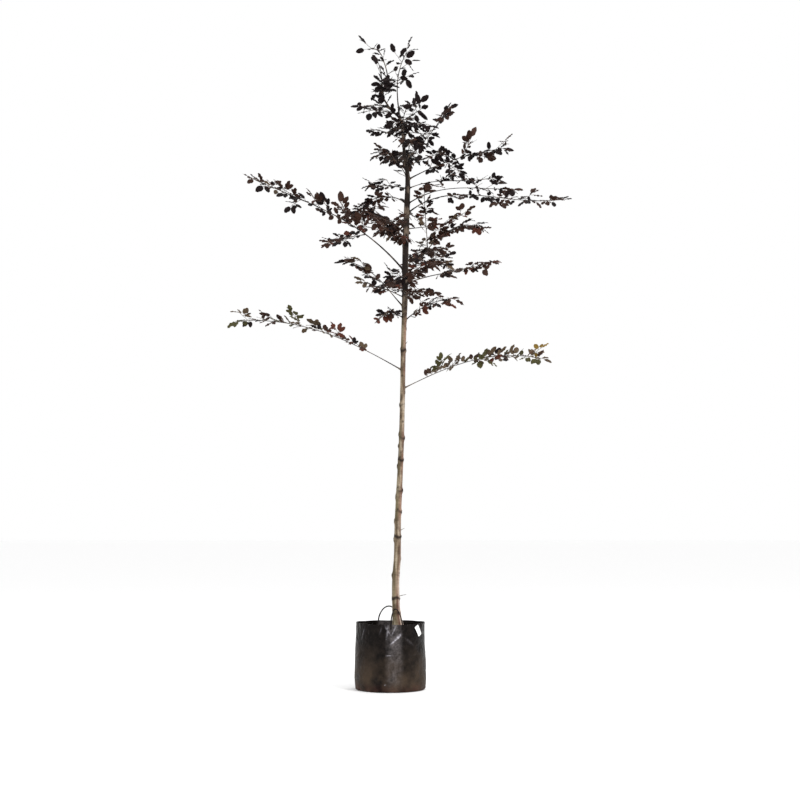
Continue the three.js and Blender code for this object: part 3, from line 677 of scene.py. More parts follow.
# The stem's stations: x, y, height and radius.
STEM = np.array([
    (41, 0, 313, 32), (34, 1, 386, 24), (30, 2, 448, 20.6), (29, 6, 582, 19.4), (38, 8, 717, 19.2),
    (41, 6, 906, 17.6), (53, 0, 1166, 14.6), (60, -6, 1340, 14), (65, -9, 1530, 13.8), (68, -8, 1722, 13.8),
    (72, -3, 1916, 13.6), (79, 4, 2138, 13.6), (81, 9, 2361, 13.2), (88, 9, 2585, 12.4), (94, 5, 2791, 10.6),
    (77, 0, 2920, 8.8), (56, -4, 3105, 6.2), (2, -3, 3173, 5.2), (-37, 1, 3236, 4.4), (-45, 4, 3283, 3.9),
    (-18, 3, 3362, 3.2), (-45, -2, 3468, 2.4), (-68, -6, 3507, 2),
])
STATIONS = len(STEM) - 1
STEM_FROM = 326  # the stem starts just inside the compost
STEM_RINGS = 760
STEM_SIDES = 44
BACK = np.array([0.0, 1.0, 0.0])
# Old pruning scars: height, how clear the scar round each still is, and the bearing where it is widest.
KNOTS = [
    (406, 0.4, 300), (488, 1, 262), (608, 0.35, 20), (824, 1, 270), (954, 0.5, 335), (1063, 0.55, 350),
    (1226, 1, 285), (1351, 0.55, 345), (1530, 0.5, 190), (1831, 1, 262),
]
KNOT_SWELL = 2.3
KNOT_REACH = 13
KNOT_SLOPE = 5  # how far a scar runs up and down round the stem
KNOT_HALF = (4.4, 3.4)  # half height of a scar, and how much it grows on one side
# Eyes, the healed feet of pruned twigs: height, bearing, half width and how far each stands out.
EYES = [
    (406, 300, 9, 2.9), (488, 12, 7, 3.1), (493, 215, 8, 2.6), (608, 186, 13, 5.7), (622, 330, 7, 2.1),
    (596, 60, 8, 3.1), (700, 350, 9, 2.9), (724, 96, 8, 3.1), (806, 182, 12, 6.0), (824, 335, 7, 2.6),
    (900, 184, 12, 6.0), (954, 352, 12, 4.4), (968, 262, 6, 2.1), (1030, 180, 15, 5.5), (1063, 4, 12, 5.5),
    (1078, 236, 7, 2.3), (1130, 70, 8, 3.1), (1192, 182, 11, 6.5), (1226, 20, 8, 3.1), (1240, 250, 7, 2.1),
    (1306, 184, 10, 6.2), (1351, 2, 12, 5.7), (1371, 178, 11, 5.7), (1440, 290, 7, 2.3), (1530, 176, 10, 4.2),
    (1600, 18, 9, 2.9), (1690, 255, 7, 2.1), (1831, 8, 9, 3.4), (1842, 200, 8, 3.4), (1900, 120, 7, 2.6),
    (1950, 350, 9, 2.6), (2260, 10, 8, 2.3), (2410, 190, 8, 2.3),
]
EYE_SUNK = 0.45  # how deep an eye's middle is sunk, as a share of that
FLARE = (5, 0.9, 2.6, 46)  # ridges of the root flare: count, phase, height and how far up they reach
FLUTES = [(3, 0.0031, 0.6, 0.45), (5, -0.0052, 2.2, 0.28), (2, 0.0083, 4.0, 0.35), (7, 0.019, 1.0, 0.14)]
RIPPLE = (0.22, 5.3, 21)  # fine rings beside a knot: depth, spacing and reach
LIT_SIDE_BEARING = -20  # the lit side of the stem, painted paler and pinker as painted light
COLLAR = 0.55  # how far a branch's collar stands out, as a share of the branch's girth
COLLAR_WIDE = 1.9  # its half width, as a share of that girth
COLLAR_TALL = 1.6  # its half height, as a share of its half width
# Inside the crown the stem has thickened more: height, and how much its radius has gained.
GAINS = np.array([[1980, 0], [2120, 2.4], [2260, 4.0], [2420, 4.3], [2640, 3.7], [2820, 1.6], [2960, 0]])
BARK_STREAKS = [(0.36, (80, 66, 51)), (0.5, (126, 111, 92)), (0.66, (168, 156, 138))]  # brown, tan and pale
BARK_BLOTCH = (58, 43, 33)
BARK_SCAR = (30, 22, 18)
# painted shade of the crown: the darker bark up among the leaves, and its paler blotches
BARK_CROWN_SHADE = (34, 27, 23)
BARK_CROWN_SHADE_PALE = (118, 104, 90)
# painted light: olive on the stem's shaded side, paler pink on its lit side
BARK_SHADE_SIDE = (104, 98, 70)
BARK_LIT_SIDE = (150, 112, 98)
BARK_RED = (84, 40, 36)
# the pale colour of the painted highlight on the stem's lit face
BARK_HIGHLIGHT = (206, 186, 172)

STALK_ROOT = 2.8  # radius of a branch that has no bare part
# Every side branch, from the ground up: the height of its foot on the stem, its compass bearing (0 is the
# tree's right, 90 its back), how far out and how high its last leaf's point lies, how steeply it leaves and
# ends, the half width of its leafy spray, how much closer its twigs stand than the rest, and where it has a
# bare bough, the share of it that is bare and its girth there.
BRANCHES = [
    ("low_right", 1619, 12, 843, 178, 27, -8, 130, 0.6, 0.1, 3.3),
    ("low_left", 1718, 189, 947, 255, 29, -3, 125, 0.62, 0.16, 3.4),
    ("last_right", 1993, 7, 316, 139, 42, 8, 90, 1.3),
    ("pad_left", 2010, 222, 205, -38, 18, -40, 110, 1.5),
    ("red_left", 2065, 187, 367, 259, 46, 10, 115, 1.3, 0.2, 4.2),
    ("back_low", 2084, 98, 640, 225, 45, 5, 130, 0.9),
    ("pad_right", 2109, 307, 235, 30, 30, -5, 100, 1.5),
    ("hedge_left", 2121, 140, 307, 99, 25, 8, 110, 1.3),
    ("knot_front", 2182, 294, 570, 40, 35, -12, 130, 1.1),
    ("lower_right", 2198, 15, 547, 166, 24, 22, 85, 1, 0.3, 4),
    ("fork_right", 2228, 11, 484, 290, 54, -14, 105, 0.95, 0.32, 4.6),
    ("long_left", 2265, 188, 876, 508, 50, 22, 135, 0.85, 0.26, 5.2),
    ("knot_back", 2278, 66, 540, 185, 40, 0, 130, 1.2),
    ("plume_front", 2426, 249, 400, -5, 26, -14, 130, 1.4),
    ("plume_back", 2465, 124, 640, 245, 42, 8, 155, 1.1),
    ("twig_right", 2504, 346, 366, 100, 4, 34, 75, 1, 0.3, 2.8),
    ("long_right", 2588, 9, 931, 123, 42, 10, 110, 0.7, 0.1, 4.6),
    ("fine_right", 2639, 354, 624, 70, 34, -2, 90, 1, 0.3, 3.4),
    ("hook_left", 2639, 149, 320, 24, 42, -18, 95, 1.3),
    ("level_left", 2723, 195, 263, 8, 12, 0, 95, 1.3),
    ("flat_right", 2723, 342, 539, 35, 20, 8, 95, 1.2, 0.12, 3.2),
    ("steep_left", 2756, 236, 235, 150, 74, 25, 105, 1.6),
    ("fan_right", 2778, 7, 585, 205, 30, 12, 130, 0.9, 0.14, 4.2),
    ("mid_back", 2824, 97, 440, 200, 50, 5, 115, 1.3),
    ("short_right", 2840, 328, 280, 72, 32, 12, 95, 1.4),
    ("mid_front", 2850, 276, 390, 55, 45, -12, 120, 1.4),
    ("fray_left", 2870, 150, 224, 80, 22, 6, 100, 1.5),
    ("tall_right", 2894, 13, 269, 345, 42, 58, 90, 1.2, 0.36, 3),
    ("dense_right", 2956, 26, 215, 110, 45, 8, 95, 1.8),
    ("dense_front", 2987, 289, 330, 30, 45, -8, 110, 1.7),
    ("dense_back", 3015, 100, 286, 156, 48, 8, 110, 1.6),
    ("twig_left", 3003, 176, 236, 60, 24, 2, 55, 1.1),
    ("tuft_back", 3083, 76, 237, 160, 45, 10, 100, 1.5),
    ("leader_right", 3104, 40, 78, 450, 104, 55, 90, 1.6, 0.42, 4.4),
    ("tuft_right", 3060, 312, 195, 80, 50, 8, 95, 1.8),
    ("tuft_low", 3148, 150, 230, 28, 10, -8, 75, 1.3),
    ("tuft_left", 3174, 200, 200, -2, 24, -10, 90, 1.6),
    ("knob_back", 3256, 86, 190, 112, 40, 20, 90, 1.5),
    ("knob_front", 3278, 300, 175, 20, 30, 0, 90, 1.8),
    ("shoot_left", 3288, 160, 62, 225, 84, 62, 75, 1.6),
    ("leader_tip", 3500, 178, 118, 10, 55, -6, 55, 1.8),
]
COLUMNS = ("name", "at", "bearing", "reach", "lift", "climb", "fall", "spread", "close", "bare", "girth")
branches = [{"bare": 0, "girth": STALK_ROOT, **dict(zip(COLUMNS, row))} for row in BRANCHES]


def stem_place(height):
    """Where on the stem's curve a height lies, from 0 at its first station to 1 at its last."""
    return np.interp(height, STEM[:, 2], np.arange(STATIONS + 1)) / STATIONS


def stem_point(place):
    """The stem's centre line: a Catmull-Rom curve through the stations, which passes each in the direction
    from the station before it to the one after."""
    spots = STEM[:, :3]
    spots = np.concatenate([2 * spots[:1] - spots[1:2], spots, 2 * spots[-1:] - spots[-2:-1]])
    along = np.asarray(place) * STATIONS
    first = np.minimum(np.floor(along).astype(int), STATIONS - 1)
    share = (along - first)[..., None]
    before, start, end, after = (spots[first + step] for step in range(4))
    leave, arrive = (end - before) / 2, (after - start) / 2
    cube = 2 * start - 2 * end + leave + arrive
    square = 3 * end - 3 * start - 2 * leave - arrive
    return ((cube * share + square) * share + leave) * share + start


def stem_radius(place):
    """The stem's radius: straight between the stations, and swollen like a bell at each knot."""
    height, plain = (np.interp(place * STATIONS, np.arange(STATIONS + 1), STEM[:, row]) for row in (2, 3))
    return plain + sum(KNOT_SWELL * bell(height - knot, KNOT_REACH) for knot, _, _ in KNOTS)


def bark_relief(bearing, height, radius):
    """How far the bark stands out from the plain stem, and how much of a scar it is: slow flutes that wind up
    the stem, plus the flare's ridges that die out upwards, plus fine rings beside each knot, less the knot's
    own swelling where its scar has healed, plus each eye, a low mound with a sunken middle, plus a collar
    under each branch."""
    angle = np.radians(bearing)
    relief = np.clip(radius / 14, 0.15, 1.2) * waves(FLUTES, angle, height)
    count, phase, deep, reach = FLARE
    relief += deep * np.sin(count * angle + phase) * np.exp((SOIL_TOP - height) / reach)
    scar = np.zeros_like(relief)
    deep, spacing, reach = RIPPLE
    for knot, marked_by, widest in KNOTS:
        one_side = 0.5 + 0.5 * np.cos(angle - np.radians(widest))
        rings = np.sin(2 * np.pi * (height - knot + 3 * np.sin(angle + knot)) / spacing)
        relief += deep * bell(height - knot, reach) * rings
        healed = 1 - marked_by * (0.4 + 0.6 * one_side)
        relief -= healed * KNOT_SWELL * bell(height - knot, KNOT_REACH)
        away = height - knot - KNOT_SLOPE * np.sin(2 * angle + knot)
        scar += marked_by * (0.5 + one_side) * bell(away, KNOT_HALF[0] + KNOT_HALF[1] * one_side)
    for at, eye, half, proud in EYES:
        square = (beside(bearing, eye, radius) / half) ** 2 + ((height - at) / half) ** 2
        relief += proud * (np.exp(-square) - EYE_SUNK * np.exp(-square / 0.12))
        scar += 0.95 * np.exp(-square / 0.6)
    for branch in branches:
        wide = COLLAR_WIDE * branch["girth"]
        across = beside(bearing, branch["bearing"], radius)
        square = (across / wide) ** 2 + ((height - branch["at"] - wide) / (COLLAR_TALL * wide)) ** 2
        relief += COLLAR * branch["girth"] * np.exp(-square)
        scar += 0.5 * bell(square - 1.3, 0.5)
    return relief, np.clip(scar, 0, 1)


def stem_rings():
    """The stem as rings along its centre line, each as wide as the stem's radius, its gain in the crown and
    the bark's relief. Each point is marked with the scars' share and with how much it faces the lit side,
    which is painted paler and pinker."""
    heights = np.linspace(STEM_FROM, STEM[-1, 2], STEM_RINGS)
    places = stem_place(heights)
    bearing = 180 + np.arange(STEM_SIDES) * 360 / STEM_SIDES
    plain = (stem_radius(places) + np.interp(heights, *GAINS.T))[:, None]
    relief, scar = bark_relief(bearing[None], heights[:, None], plain)
    # how much each point faces the lit side, for the painted light there
    pinker = 0.5 + 0.5 * np.cos(np.radians(bearing - LIT_SIDE_BEARING)) + 0 * scar
    rings = tubes(stem_point(places)[None], (plain + relief)[None], STEM_SIDES, BACK[None])
    return *rings, {"scar": scar, "pinker": pinker}


def seamed(base, height, pinker, streak):
    """Bark with a dark red seam up the front of its lit side, low down, and a painted highlight beyond that
    seam, a pale streak in the middle of the lit side, which reaches higher. Each is the product of how near
    its height is and how near its bearing is, broken by the streaks."""
    marks = [
        (BARK_RED, 0.9, (0.48, 0.66), (0.79, 0.86), (0.86, 0.92), (0.4, 0.5)),
        # the second row is a painted highlight: a pale streak in the middle of the lit side
        (BARK_HIGHLIGHT, 0.7, (0.55, 1.0), (0.9, 0.95), (1.1, 1.2), (0.35, 0.6)),
    ]
    for shade, share, low_down, rise, fall, broken in marks:
        for values in ((height, *low_down, 1.0, 0.0), (pinker, *rise), (pinker, *fall, 1.0, 0.0),
                       (streak, *broken, 0.3)):
            share = worked("MULTIPLY", ramp(*values), share)
        base = mixed(share, base, color(shade))
    return base


def bark_finish(name, shade_from, shade_to):
    """Beech bark: streaks of brown, tan and pale low down, with brown blotches, and painted light: olive on
    the shaded side and paler pink on the lit side. It gives way to painted shade of the crown, a darker bark
    between two heights, in metres. Scars are darker still, and small level lenticels roughen it."""
    material, spot = begun(name)
    tree = spot.id_data
    drawn = [(1.0, 1.0, 0.09), (1.0, 1.0, 0.4), (0.35, 0.35, 2.6)]
    long_way, tall_way, level = (add(tree, "Mapping", {"Vector": spot, "Scale": scale}) for scale in drawn)
    streak = noise(long_way, 70.0, 5.0)
    blotch = noise(tall_way, 34.0, 5.0)
    patch = noise(spot, 9.0, 4.0)
    browns = add(tree, "ValToRGB", {0: streak})
    stops = browns.node.color_ramp.elements
    stops.new(BARK_STREAKS[1][0])
    for stop, (place, shade) in zip(stops, BARK_STREAKS):
        stop.position = place
        stop.color = color(shade)
    young = mixed(ramp(blotch, 0.47, 0.6, end=0.8), browns, color(BARK_BLOTCH))
    pinker = marked(spot, "pinker")
    # painted light: olive on the shaded side, paler pink on the lit side
    side = mixed(ramp(pinker, 0.5, 0.95), color(BARK_SHADE_SIDE), color(BARK_LIT_SIDE))
    young = mixed(ramp(patch, 0.4, 0.62, 0.1, 0.5), young, side)
    height = add(tree, "SeparateXYZ", {0: spot}, "Z")
    young = seamed(young, height, pinker, streak)
    # painted shade of the crown: the bark is painted darker above a wandering height
    crown_shaded = mixed(ramp(blotch, 0.51, 0.68), color(BARK_CROWN_SHADE), color(BARK_CROWN_SHADE_PALE))
    wander = worked("MULTIPLY_ADD", patch, 0.5, height)
    base = mixed(ramp(wander, shade_from + 0.25, shade_to + 0.25), young, crown_shaded)
    base = mixed(ramp(marked(spot, "scar"), end=0.92), base, color(BARK_SCAR))
    base, grain = uneven(base, level, 85.0, 0.2)
    normal = bumped(grain, 0.0016, Normal=bumped(blotch, 0.004))
    normal = bumped(noise(level, 260.0, 4.0), 0.0008, Normal=normal)
    return finished(material, Base_Color=base, Roughness=0.8, Specular_IOR_Level=0.15, Normal=normal)


# the heights, in metres, between which the crown's painted shade comes in on the stem
BARK = bark_finish("beech_bark", 2.0, 2.08)
stem_points, stem_faces, stem_marks = stem_rings()
fit(lay("stem_bark", stem_points, stem_faces, crisp=60, marks=stem_marks), BARK, "stem_bark", "stem")

# Dead stubs at three of the knots: height, bearing, length and rise.
STUBS = [(493, 12, 58, 16), (844, -25, 40, 24), (1846, 8, 22, 34)]
STUB_RINGS = 9
STUB_SIDES = 8
STUB_RADII = ([0, 0.3, 1], [3.9, 2.08, 1.0])  # places on a stub, and its radii there
STUB_BEND = 2.5


def rods(starts, ways, places, radii, sides, side, arch=0):
    """Closed rods, each from its start along its way, with radii at places from 0 to 1 and an arch upwards
    that is half a sine wave."""
    paths = starts[:, None] + places[:, None] * ways[:, None]
    paths[..., 2] += arch * np.sin(np.pi * places)
    return tubes(paths, np.array(radii)[:, None], sides, side)


stub_at, stub_bearing, stub_long, stub_rise = np.array(STUBS, float).T
stub_ways = stub_long[:, None] * heading(stub_bearing) + stub_rise[:, None] * UP
stub_share = np.linspace(0, 1, STUB_RINGS)
stub_radii = np.interp(stub_share, *STUB_RADII)
stub_points, stub_faces = rods(stem_point(stem_place(stub_at)), stub_ways, stub_share, stub_radii, STUB_SIDES,
                               heading(stub_bearing + 90), STUB_BEND)
stub_marks = {"scar": np.full(len(stub_points), 0.6), "pinker": np.full(len(stub_points), 0.5)}
fit(lay("stem_stubs", stub_points, stub_faces, crisp=60, marks=stub_marks), BARK, "stem_bark", "stem")

# ---------------------------------------------------------------- the boughs
# Each side branch is one limb that leaves the stem at the angle it climbs and comes to its end at the angle
# it ends with. Its first part may be a bare bough, and the stalk of its leafy spray runs on from that.

CURVE_ARM = 0.38  # how far a branch holds its first and last direction, as a share of its length
LEAF_LONG = 78  # length that the rule keeps for a leaf, or here for a sprig with its leaves
LEAF_LAST = 0.7  # share of it that the last one adds to a branch's reach
BOUGH_TIP = 0.62  # a bough's girth at its end, as a share of that at its foot
BOUGH_STEPS = 5
STALK_STEP = 140
STALK_TIP = 1.7
SHOOT_ROOT = 2.2  # radius of a fork's foot
LENGTH_STEPS = 200  # straight stretches that a branch's length is added up from
HAIR = 1e-4  # a direction is taken over this much of a curve on either side
# Forks of a spray: the branch, how far along its stalk, then bearing, reach, lift, climb and fall.
SHOOTS = {"fork_right": (0.04, 106, 64, 400, 82, 88), "long_left": (0.06, 196, 250, -75, -14, -24)}
LIMB_RINGS = 90
LIMB_SIDES = 12
LIMB_FLARE = 0.8  # how much thicker a limb is where it leaves the stem
LIMB_FLARE_REACH = 10
NODE_SPACING = 27  # between two leaf scars on a limb
NODE_HALF = 3.4
NODE_SWELL = 0.1


def slope(bearing, angle):
    """A direction on a bearing that rises by an angle."""
    return np.cos(np.radians(angle)) * heading(bearing) + np.sin(np.radians(angle)) * UP


def curve_point(arms, place):
    """A cubic Bezier curve with four arms' points at places from 0 to 1."""
    share = np.asarray(place, float)[..., None]
    weights = (1 - share) ** 3, 3 * (1 - share) ** 2 * share, 3 * (1 - share) * share**2, share**3
    return sum(weight * arm for weight, arm in zip(weights, arms))


def curve_way(arms, place):
    """The curve's direction there: from a hair before the place to a hair after it."""
    before, after = (curve_point(arms, np.clip(np.asarray(place) + hair, 0, 1)) for hair in (-HAIR, HAIR))
    return unit(after - before)


def reach_out(foot, bearing, reach, lift, climb, fall):
    """A branch's centre line, as the four points of its curve. Its end stops short of its reach by what its
    last leaf adds."""
    end = foot + reach * heading(bearing) + lift * UP - LEAF_LONG * LEAF_LAST * slope(bearing, fall)
    arm = CURVE_ARM * np.linalg.norm(end - foot)
    return np.stack([foot, foot + arm * slope(bearing, climb), end - arm * slope(bearing, fall), end])


def stalk_on(arms, start, bearing, radius):
    """A leafy stalk: a branch's curve from a place on it to its end. Its cores are the points of the straight
    stretches that a mass's space is measured from."""
    line = curve_point(arms, np.linspace(0, 1, LENGTH_STEPS + 1))
    whole = np.linalg.norm(np.diff(line, axis=0), axis=1).sum()
    length = whole * (1 - start)
    steps = max(2, int(length / STALK_STEP + 0.5))
    stalk = dict(arms=arms, whole=whole, length=length, radius=radius, side=heading(bearing + 90))
    stalk["point"] = lambda share: curve_point(arms, start + (1 - start) * share)
    stalk["way"] = lambda share: curve_way(arms, start + (1 - start) * share)
    stalk["cores"] = stalk["point"](np.linspace(0, 1, steps + 1))
    return stalk


def settle(branch):
    """Works out a branch's limbs: the curve of each from its foot, and the stalks of its leafy part."""
    foot = stem_point(stem_place(branch["at"]))
    arms = reach_out(foot, *(branch[key] for key in ("bearing", "reach", "lift", "climb", "fall")))
    main = stalk_on(arms, 0, branch["bearing"], STALK_ROOT)
    if branch["bare"]:
        start = branch["bare"] + GAP / main["whole"]
        main = stalk_on(arms, start, branch["bearing"], branch["girth"] * BOUGH_TIP)
    branch["stalks"] = [main]
    if branch["name"] in SHOOTS:
        along, *way = SHOOTS[branch["name"]]
        at = along * (len(main["cores"]) - 1)
        before, after = main["cores"][int(at):int(at) + 2]
        fork = before + at % 1 * (after - before)
        branch["stalks"].append(stalk_on(reach_out(fork, *way), 0, way[0], SHOOT_ROOT))
    branch["bough"] = curve_point(arms, branch["bare"] * np.linspace(0, 1, BOUGH_STEPS + 1))


def leaf_scars(along):
    """Bells at even spacings along a limb."""
    return bell(along % NODE_SPACING - NODE_SPACING / 2, NODE_HALF)


def limb_girth(branch, stalk, share):
    """A limb's radius: straight from its root to the end of its bare part and on to its tip, thicker where it
    leaves the bark, and a little swollen at each leaf scar."""
    main = stalk is branch["stalks"][0]
    root, bare = (branch["girth"], branch["bare"]) if main else (SHOOT_ROOT, 0)
    plain = np.interp(share, [0, max(bare, 1e-6), 1], [root, root * BOUGH_TIP if bare else root, STALK_TIP])
    hidden = stem_radius(stem_place(branch["at"])) if main else root
    along = share * stalk["whole"]
    flare = 1 + LIMB_FLARE * np.exp(-np.maximum(along - hidden, 0) / LIMB_FLARE_REACH)
    return plain * flare * (1 + NODE_SWELL * leaf_scars(along))


for branch in branches:
    settle(branch)

limb_share = np.linspace(0, 1, LIMB_RINGS)
limbs = [(branch, stalk) for branch in branches for stalk in branch["stalks"]]
limb_paths = np.array([curve_point(stalk["arms"], limb_share) for _, stalk in limbs])
limb_radii = np.array([limb_girth(*limb, limb_share) for limb in limbs])[..., None]
limb_sides = np.array([stalk["side"] for _, stalk in limbs])
limb_points, limb_faces = tubes(limb_paths, limb_radii, LIMB_SIDES, limb_sides)
limb_step = np.linalg.norm(np.gradient(limb_paths, axis=1), axis=-1) * LIMB_RINGS
limb_scar = 0.5 * leaf_scars(limb_share * limb_step)
limb_marks = {"scar": np.repeat(limb_scar, LIMB_SIDES), "pinker": np.full(len(limb_points), 0.6)}
boughs = lay("bough_bark", limb_points, limb_faces, crisp=60, marks=limb_marks)
bough_nodes = [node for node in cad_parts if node.startswith("bough_")]
# the boughs take the crown's painted shade from lower heights
fit(boughs, bark_finish("bough_bark", 1.45, 1.75), "bough_bark", *bough_nodes)

# ---------------------------------------------------------------- the sprays
# A stalk carries twigs left and right by turns, and stalks and twigs carry sprigs the same way. A sprig is a
# short shoot with a leaf at its tip and one at its side. Whatever would leave its branch's own space, or
# touch the stem or a bough, is skipped, so light shows between the branches.

STRIDE = 1664525
OFFSET = 1013904223
WHOLE = 2**32
WARM_UP = 5  # numbers of a seed that are passed over
FIRST_SEED = 201  # the first branch's own; the next have the numbers after it
FINE_SEED = 5000  # the same for what is finer than the rule
# Twigs on a stalk: how far apart, radius against the stalk's and at the tip against the foot's, least length,
# how much shorter the last are than the first, and the share that bears leaves. Then what each draws.
TWIG = dict(step=84, fork=0.66, tip=0.8, least=34, shorten=0.5, leafy=0.9)
TWIG_WAYS = dict(place=(0.35, 0.75), turn=(36, 62), roll=(-35, 60), size=(0.72, 1.12), curl=(-0.22, 0.12))
TWIG_CHECKS = np.array([0.4, 0.7, 1])  # places on a twig that have to stay in its branch's own space
STALK_LEAFY = 0.56
# Sites for leaves: width and middle as shares of the length, how far apart, and how close two middles may
# come, as a share of the length. Then what each draws.
SITE = dict(wide=0.7, middle=0.45, step=28, crowd=0.34)
SITE_WAYS = dict(ahead=(-18, 18), turn=(38, 66), droop=(-0.15, 0.55), roll=(-72, 72), size=(0.78, 1.14))
# Places on a leaf that have to stay there too: shares of its length along it, and of its half width across.
SITE_CHECKS = np.array([
    (0.12, 0), (0.25, 0.55), (0.25, -0.55), (0.45, 1), (0.45, -1), (0.45, 0.5),
    (0.45, -0.5), (0.7, 0.55), (0.7, -0.55), (0.75, 0), (1, 0),
])
OWN = 1.02  # how much nearer its own stalks a place has to lie
APART = 0.01  # and by what difference
LIMB_CLEAR = 3
STEM_SAMPLES = 160

# A sprig and its leaves, as shares of the rule's leaf length.
SPRIG = 0.19
PETIOLE = 0.09
# The leaf at its tip and the one at its side: where on the sprig each stands, and its size and ways.
SPRIG_LEAVES = [
    dict(foot=SPRIG, long=0.68, turn=(-16, 16), roll=(-30, 30), tilt=(-0.2, 0.2)),
    dict(foot=0.07, long=0.59, turn=(38, 60), roll=(-45, 45), tilt=(-0.3, 0.3)),
]
# Finer sprigs stand between the rule's own, and all turn their leaves level, towards the light. They come in
# sets, each so far on from the rule's sites as a share of its step.
SETS = (0.5, 0.25, 0.75, 0.12, 0.37)
# By the height of the branch's foot: how many sets, their size as a share of the rule's, how far a sprig
# turns, and how far apart the middles of two leaves stay, as a share of a leaf's length.
FINER = [
    (0, 1, (0.74, 1.05), (0.2, 1.6), 0.42),
    (1980, 3, (0.74, 1.05), (0.3, 1.8), 0.4),
    (2400, 5, (0.74, 1.05), (0.1, 1.4), 0.34),
    (2500, 1, (0.74, 1.05), (0.2, 1.6), 0.42),
    (2700, 3, (0.74, 1.05), (0.5, 2.6), 0.38),
    (3050, 2, (0.9, 1.2), (0, 0.5), 0.72),
]
FINER_LEAFY = 0.95
FINER_CROWD = 0.2
DROOP = SITE_WAYS["droop"]  # how far a finer sprig hangs, as the rule's own do
RISE = (-0.95, 0.15)  # and how far it stands up on a branch that carries its leaves above its stalk
STAND = (-1.7, -0.5)  # the same on the low right branch, the most of all
HANG = (0.35, 1.3)  # and how far it hangs in the dense parts of the crown
# Branches that differ: how many sets, how far their sprigs turn level, how far apart their leaves stay, and
# how far the sprigs hang.
DIFFERENT = {
    "low_right": (1, (0.4, 2), 0.42, STAND),
    "low_left": (1, (0.6, 3), 0.45, RISE),
    "long_left": (2, (0.3, 2.2), 0.42, RISE),
    "plume_front": (3, (0.1, 1.4), 0.36, HANG),
    "plume_back": (2, (0.2, 1.6), 0.38, HANG),
    "fork_right": (5, (0.2, 1.6), 0.33, DROOP),
    "long_right": (2, (0.3, 1.8), 0.55, DROOP),
    "hook_left": (4, (0.2, 1.4), 0.38, DROOP),
    "level_left": (4, (1.2, 3.5), 0.36, DROOP),
    "dense_front": (3, (0.5, 2.6), 0.38, HANG),
    "dense_right": (3, (0.4, 2.2), 0.38, HANG),
    "dense_back": (2, (0.5, 2.6), 0.38, HANG),
    "mid_front": (3, (0.2, 1.6), 0.38, HANG),
    "mid_back": (2, (0.3, 2), 0.38, HANG),
    "steep_left": (0, (3, 7), 0.5, DROOP),
    "fray_left": (3, (3, 7), 0.38, DROOP),
    "twig_left": (3, (3, 7), 0.38, DROOP),
    "tuft_low": (2, (1, 4), 0.45, DROOP),
    "short_right": (4, (0.1, 1.2), 0.36, HANG),
    "flat_right": (3, (0, 1), 0.36, DROOP),
    "fan_right": (4, (0, 0.5), 0.38, DROOP),
    "tall_right": (2, (0, 1), 0.4, DROOP),
    "knob_front": (3, (0, 0.6), 0.42, DROOP),
    "knob_back": (2, (0, 0.6), 0.45, DROOP),
}


def seeded(seed):
    """Numbers between 0 and 1 that one seed always gives again: each comes from the last by a stride and an
    offset, within 32 bits."""
    state = seed
    drawn = 0
    while True:
        state = (state * STRIDE + OFFSET) % WHOLE
        drawn += 1
        if drawn > WARM_UP:
            yield state / WHOLE


def within(draw, ends):
    """A number drawn between two ends."""
    low, high = ends
    return low + (high - low) * next(draw)


def turned(vector, axis, angle):
    """A direction turned about an axis by an angle in radians, by Rodrigues' formula."""
    return (vector * np.cos(angle) + np.cross(axis, vector) * np.sin(angle)
            + axis * (axis @ vector) * (1 - np.cos(angle)))


def distances(points, starts, ends):
    """Distance from each point to each straight stretch: to the nearest place on it."""
    way = ends - starts
    share = ((points[:, None] - starts) * way).sum(-1) / (way * way).sum(-1)
    nearest = starts + np.clip(share, 0, 1)[..., None] * way
    return np.linalg.norm(points[:, None] - nearest, axis=-1)


def stretches(runs):
    """The starts and the ends of all the straight stretches of a list of paths."""
    return np.concatenate([run[:-1] for run in runs]), np.concatenate([run[1:] for run in runs])


stem_places = np.linspace(0, 1, STEM_SAMPLES + 1)
taper = np.linspace(1, BOUGH_TIP, BOUGH_STEPS + 1)
bare = [branch for branch in branches if branch["bare"]]
LIMB_RUNS = stretches([stem_point(stem_places)] + [branch["bough"] for branch in bare])
_, LIMB_RADII = stretches([stem_radius(stem_places)] + [branch["girth"] * taper for branch in bare])
CORE_RUNS = stretches([stalk["cores"] for _, stalk in limbs])
core_counts = [sum(len(stalk["cores"]) - 1 for stalk in branch["stalks"]) for branch in branches]
CORE_FIRSTS = np.cumsum([0] + core_counts[:-1])
SPREADS = np.array([branch["spread"] for branch in branches], float)


def stays(points, index):
    """Whether all points are clear of every limb, and in the branch's own space: nearer to its own stalks
    than to any other branch's, each measured by its spread. What grows on the stem itself has no branch."""
    if (distances(points, *LIMB_RUNS) <= LIMB_RADII + LIMB_CLEAR).any():
        return False
    if index is None:
        return True
    shares = np.minimum.reduceat(distances(points, *CORE_RUNS), CORE_FIRSTS, axis=1) / SPREADS
    own = shares[:, index] * OWN
    return bool((np.delete(shares, index, axis=1).min(1) > own + APART).all())


def frame_at(way, side):
    """The three directions at a place on a curve: along it, up from it and across it."""
    lift = unit(np.cross(way, side))
    return way, lift, np.cross(lift, way)


